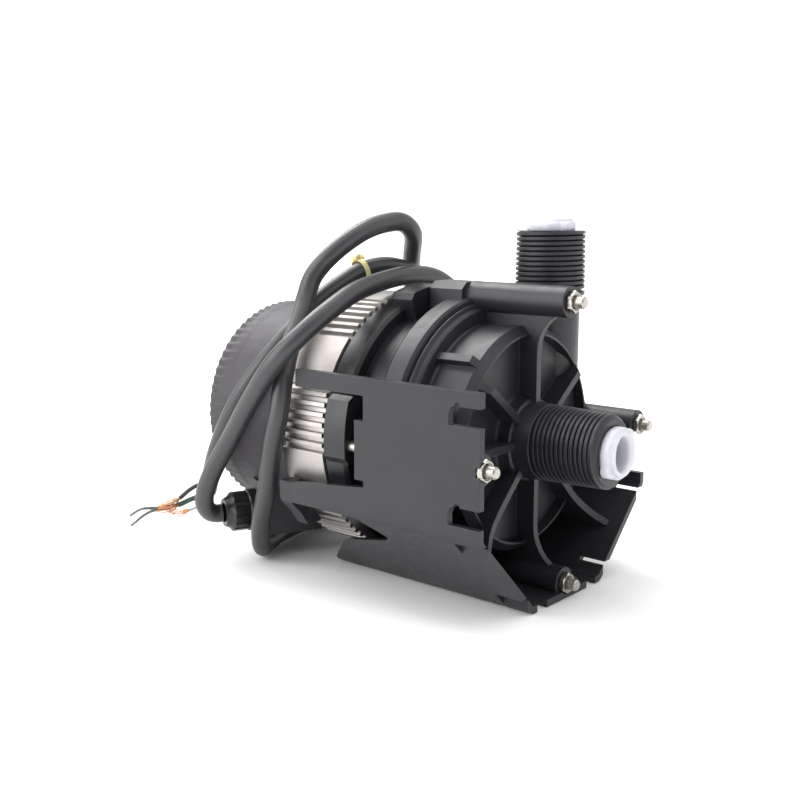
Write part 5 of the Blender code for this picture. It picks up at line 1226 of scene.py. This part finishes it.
@dataclass
class Pump:
    """The pump's own finished pieces.

    Args:
        library: where its finishes come from.
        suction_ears: turn of the suction plug's ears, in degrees.
        discharge_ears: turn of the discharge plug's ears, in degrees.
    """

    library: FinishLibrary
    suction_ears: float = 39.0
    discharge_ears: float = 20.0

    def build(self) -> None:
        """Dresses the CAD nodes and adds threads, nuts, rim, collar and plugs."""
        self._dress_nodes()
        self._port_threads()
        self._stud_ends()
        self._rim_and_collar()
        self._plugs()

    def _dress_nodes(self) -> None:
        """Gives every CAD node its finish, and stands a merged copy in for each one that isn't rebuilt."""
        listed = frame["record"]["behaviour"]["bodies"]
        bodies = {name: body for body, names in listed.items() for name in names}
        for name, node in frame["nodes"].items():
            look = NODE_LOOKS[max((start for start in NODE_LOOKS if name.startswith(start)), key=len)]
            material = self.library.get(look)
            node.data.materials.clear()
            node.data.materials.append(material)
            if not name.startswith(REBUILT):
                fit(Surface.merged(f"{name}_surface", node), material, body=bodies[name], node=name)

    def _port_threads(self) -> None:
        """The tapered pipe threads of both ports."""
        ports = [
            Thread("suction_thread", at(*SUCTION_MOUTH), BACK, start=-0.0002, length=0.0312,
                   pitch=PIPE_PITCH, crest_start=0.0155, crest_end=0.0164, depth=PIPE_DEPTH, lip=0.0006),
            Thread("discharge_thread", at(*DISCHARGE_MOUTH), -UP, start=-0.0026, length=0.0294,
                   pitch=PIPE_PITCH, crest_start=0.01535, crest_end=0.01572, depth=PIPE_DEPTH, lip=0.00005)]
        for thread in ports:
            fit(thread.build(), self.library.get(Look.MOULDING))

    def _stud_ends(self) -> None:
        """A short machine thread on each of the four bolts' ends, and a thin dished nut on each boss."""
        zinc = self.library.get(Look.ZINC)
        for side, (across, height) in BOLTS.items():
            stud = Thread(f"stud_thread_{side}", at(across, STUD_STATION, height), BACK, start=0.0010,
                          length=0.0036, pitch=0.0008, crest_start=0.00258, crest_end=0.00258, depth=0.0002)
            fit(stud.build(steps=32), zinc)
        for side, (across, height) in BOLTS.items():
            nut = HexNut(f"chamfered_nut_{side}", at(across, BOSS_STATION, height))
            fit(nut.build(), zinc, node=f"hex_nut_{side}")

    def _rim_and_collar(self) -> None:
        """The toothed rim, at the end of the cap in the frame, and the suction port's plain collar."""
        cap = frame["nodes"]["rear_cap"]
        back = max((cap.matrix_world @ Vector(corner)).y for corner in cap.bound_box)
        fit(ToothedRim(back).build(), self.library.get(Look.CAP))
        fit(PortCollar(at(*SUCTION_MOUTH)).build(), self.library.get(Look.MOULDING))

    def _plugs(self) -> None:
        """The two white plugs, each on its own body."""
        plugs = {
            "suction_plug": ShippingPlug("suction_shipping_plug", at(*SUCTION_MOUTH), RIGHT, UP, -BACK,
                                         math.radians(self.suction_ears)),
            "discharge_plug": ShippingPlug("discharge_shipping_plug", at(*DISCHARGE_MOUTH), BACK, RIGHT, UP,
                                           math.radians(self.discharge_ears))}
        for node, plug in plugs.items():
            fit(plug.build(), self.library.get(Look.PLUG), body=node, node=node)


@dataclass(frozen=True)
class Softbox:
    """A large far light, as even as a sun of the same spread.

    Args:
        name: the light's name.
        towards: direction from the pump to the light.
        spread: its width seen from the pump, in degrees.
        strength: its light at the pump, in watts per square metre.
    """

    name: str
    towards: Point
    spread: float
    strength: float

    def hang(self) -> None:
        """Adds the light to the scene."""
        data = bpy.data.lights.new(self.name, "SUN")
        data.angle = math.radians(self.spread)
        data.energy = self.strength
        light = bpy.data.objects.new(self.name, data)
        light.rotation_euler = Vector(self.towards).to_track_quat("Z", "Y").to_euler()
        bpy.context.scene.collection.objects.link(light)


@dataclass
class Studio:
    """Floor, light and camera.

    Args:
        library: where the floor's finish comes from.
        softboxes: the lights.
        seen: strength of the white that is seen behind the pump.
        bright_way: direction in which the room around the pump is brightest.
        room: strength of the room's light in its dimmest and its brightest part.
        room_span: shares of a direction along the bright way where the dimmest and the brightest part start.
        floor_half: half the floor's width, in metres.
        floor_drop: how far the floor lies under the base, so that the two don't flicker.
        camera_spot: the camera's place, fitted to the photograph, in metres.
        camera_turn: the camera's pitch from straight down and its yaw, in degrees.
        lens: focal length for a sensor 36 mm wide, in millimetres.
    """

    library: FinishLibrary
    softboxes: Tuple[Softbox, ...] = (
        Softbox("left_softbox", (-0.85, 0.42, 0.34), spread=60, strength=2.9),
        Softbox("top_softbox", (-0.2, -0.1, 1.0), spread=60, strength=1.2),
        Softbox("rear_softbox", (0.12, 0.66, 0.75), spread=38, strength=2.4),
        Softbox("front_fill", (0.3, -0.9, 0.3), spread=80, strength=1.3))
    seen: float = 1.05
    bright_way: Point = (0.62, 0.78, 0.05)
    room: Tuple[float, float] = (0.36, 1.25)
    room_span: Tuple[float, float] = (-0.35, 0.75)
    floor_half: float = 6.0
    floor_drop: float = 0.0004
    camera_spot: Point = (-0.38216, -0.26243, 0.16270)
    camera_turn: Tuple[float, float] = (90 - 9.89, -49.42)
    lens: float = 48.645

    def build(self) -> None:
        """Lays the floor, hangs the lights and places the camera."""
        self._floor()
        self._world()
        for softbox in self.softboxes:
            softbox.hang()
        self._camera()

    def _floor(self) -> None:
        """A plain square floor just under the base."""
        h, z = self.floor_half, -self.floor_drop
        corners = np.array([(-h, -h, z), (h, -h, z), (h, h, z), (-h, h, z)])
        floor = Surface.mesh("floor", (corners, [[0, 1, 2, 3]]))
        floor.data.materials.append(self.library.get(Look.FLOOR))

    def _world(self) -> None:
        """Pure white seen behind the pump, and a room for it to mirror: a lit sweep behind and a dim front.

        The room's light runs from dim to bright with the direction's share along the bright way.
        """
        world = bpy.data.worlds.new("studio")
        nodes = NodeTree(world)
        white = (1.0, 1.0, 1.0, 1.0)
        seen = nodes.add("Background", in_Color=white, in_Strength=self.seen)
        way = nodes.add("TexCoord").outputs["Generated"]
        back = nodes.add("VectorMath", {0: way}, operation="DOT_PRODUCT", in_1=self.bright_way)
        (start, full), (dim, bright) = self.room_span, self.room
        level = nodes.add("MapRange", {"Value": back.outputs["Value"]}, in_From_Min=start, in_From_Max=full,
                          in_To_Min=dim, in_To_Max=bright)
        room = nodes.add("Background", {"Strength": level.outputs["Result"]}, in_Color=white)
        ray = nodes.add("LightPath").outputs["Is Camera Ray"]
        both = nodes.add("MixShader", {0: ray, 1: room.outputs[0], 2: seen.outputs[0]})
        nodes.tree.links.new(both.outputs[0], nodes.tree.nodes["World Output"].inputs["Surface"])
        bpy.context.scene.world = world

    def _camera(self) -> None:
        """The camera that was fitted to the photograph."""
        data = bpy.data.cameras.new("photo_camera")
        data.lens = self.lens
        data.sensor_width = 36.0
        data.clip_start = 0.02
        camera = bpy.data.objects.new("photo_camera", data)
        camera.location = self.camera_spot
        pitch, yaw = (math.radians(angle) for angle in self.camera_turn)
        camera.rotation_euler = (pitch, 0.0, yaw)
        bpy.context.scene.collection.objects.link(camera)
        bpy.context.scene.camera = camera


def main() -> None:
    """Builds everything around the loaded frame."""
    logging.basicConfig(level=logging.INFO, format="%(name)s %(message)s")
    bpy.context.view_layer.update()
    library = FinishLibrary()
    Studio(library).build()
    Lead(library).build()
    Pump(library).build()
    bpy.context.scene.view_settings.view_transform = "Standard"


if __name__ == "__main__":
    main()
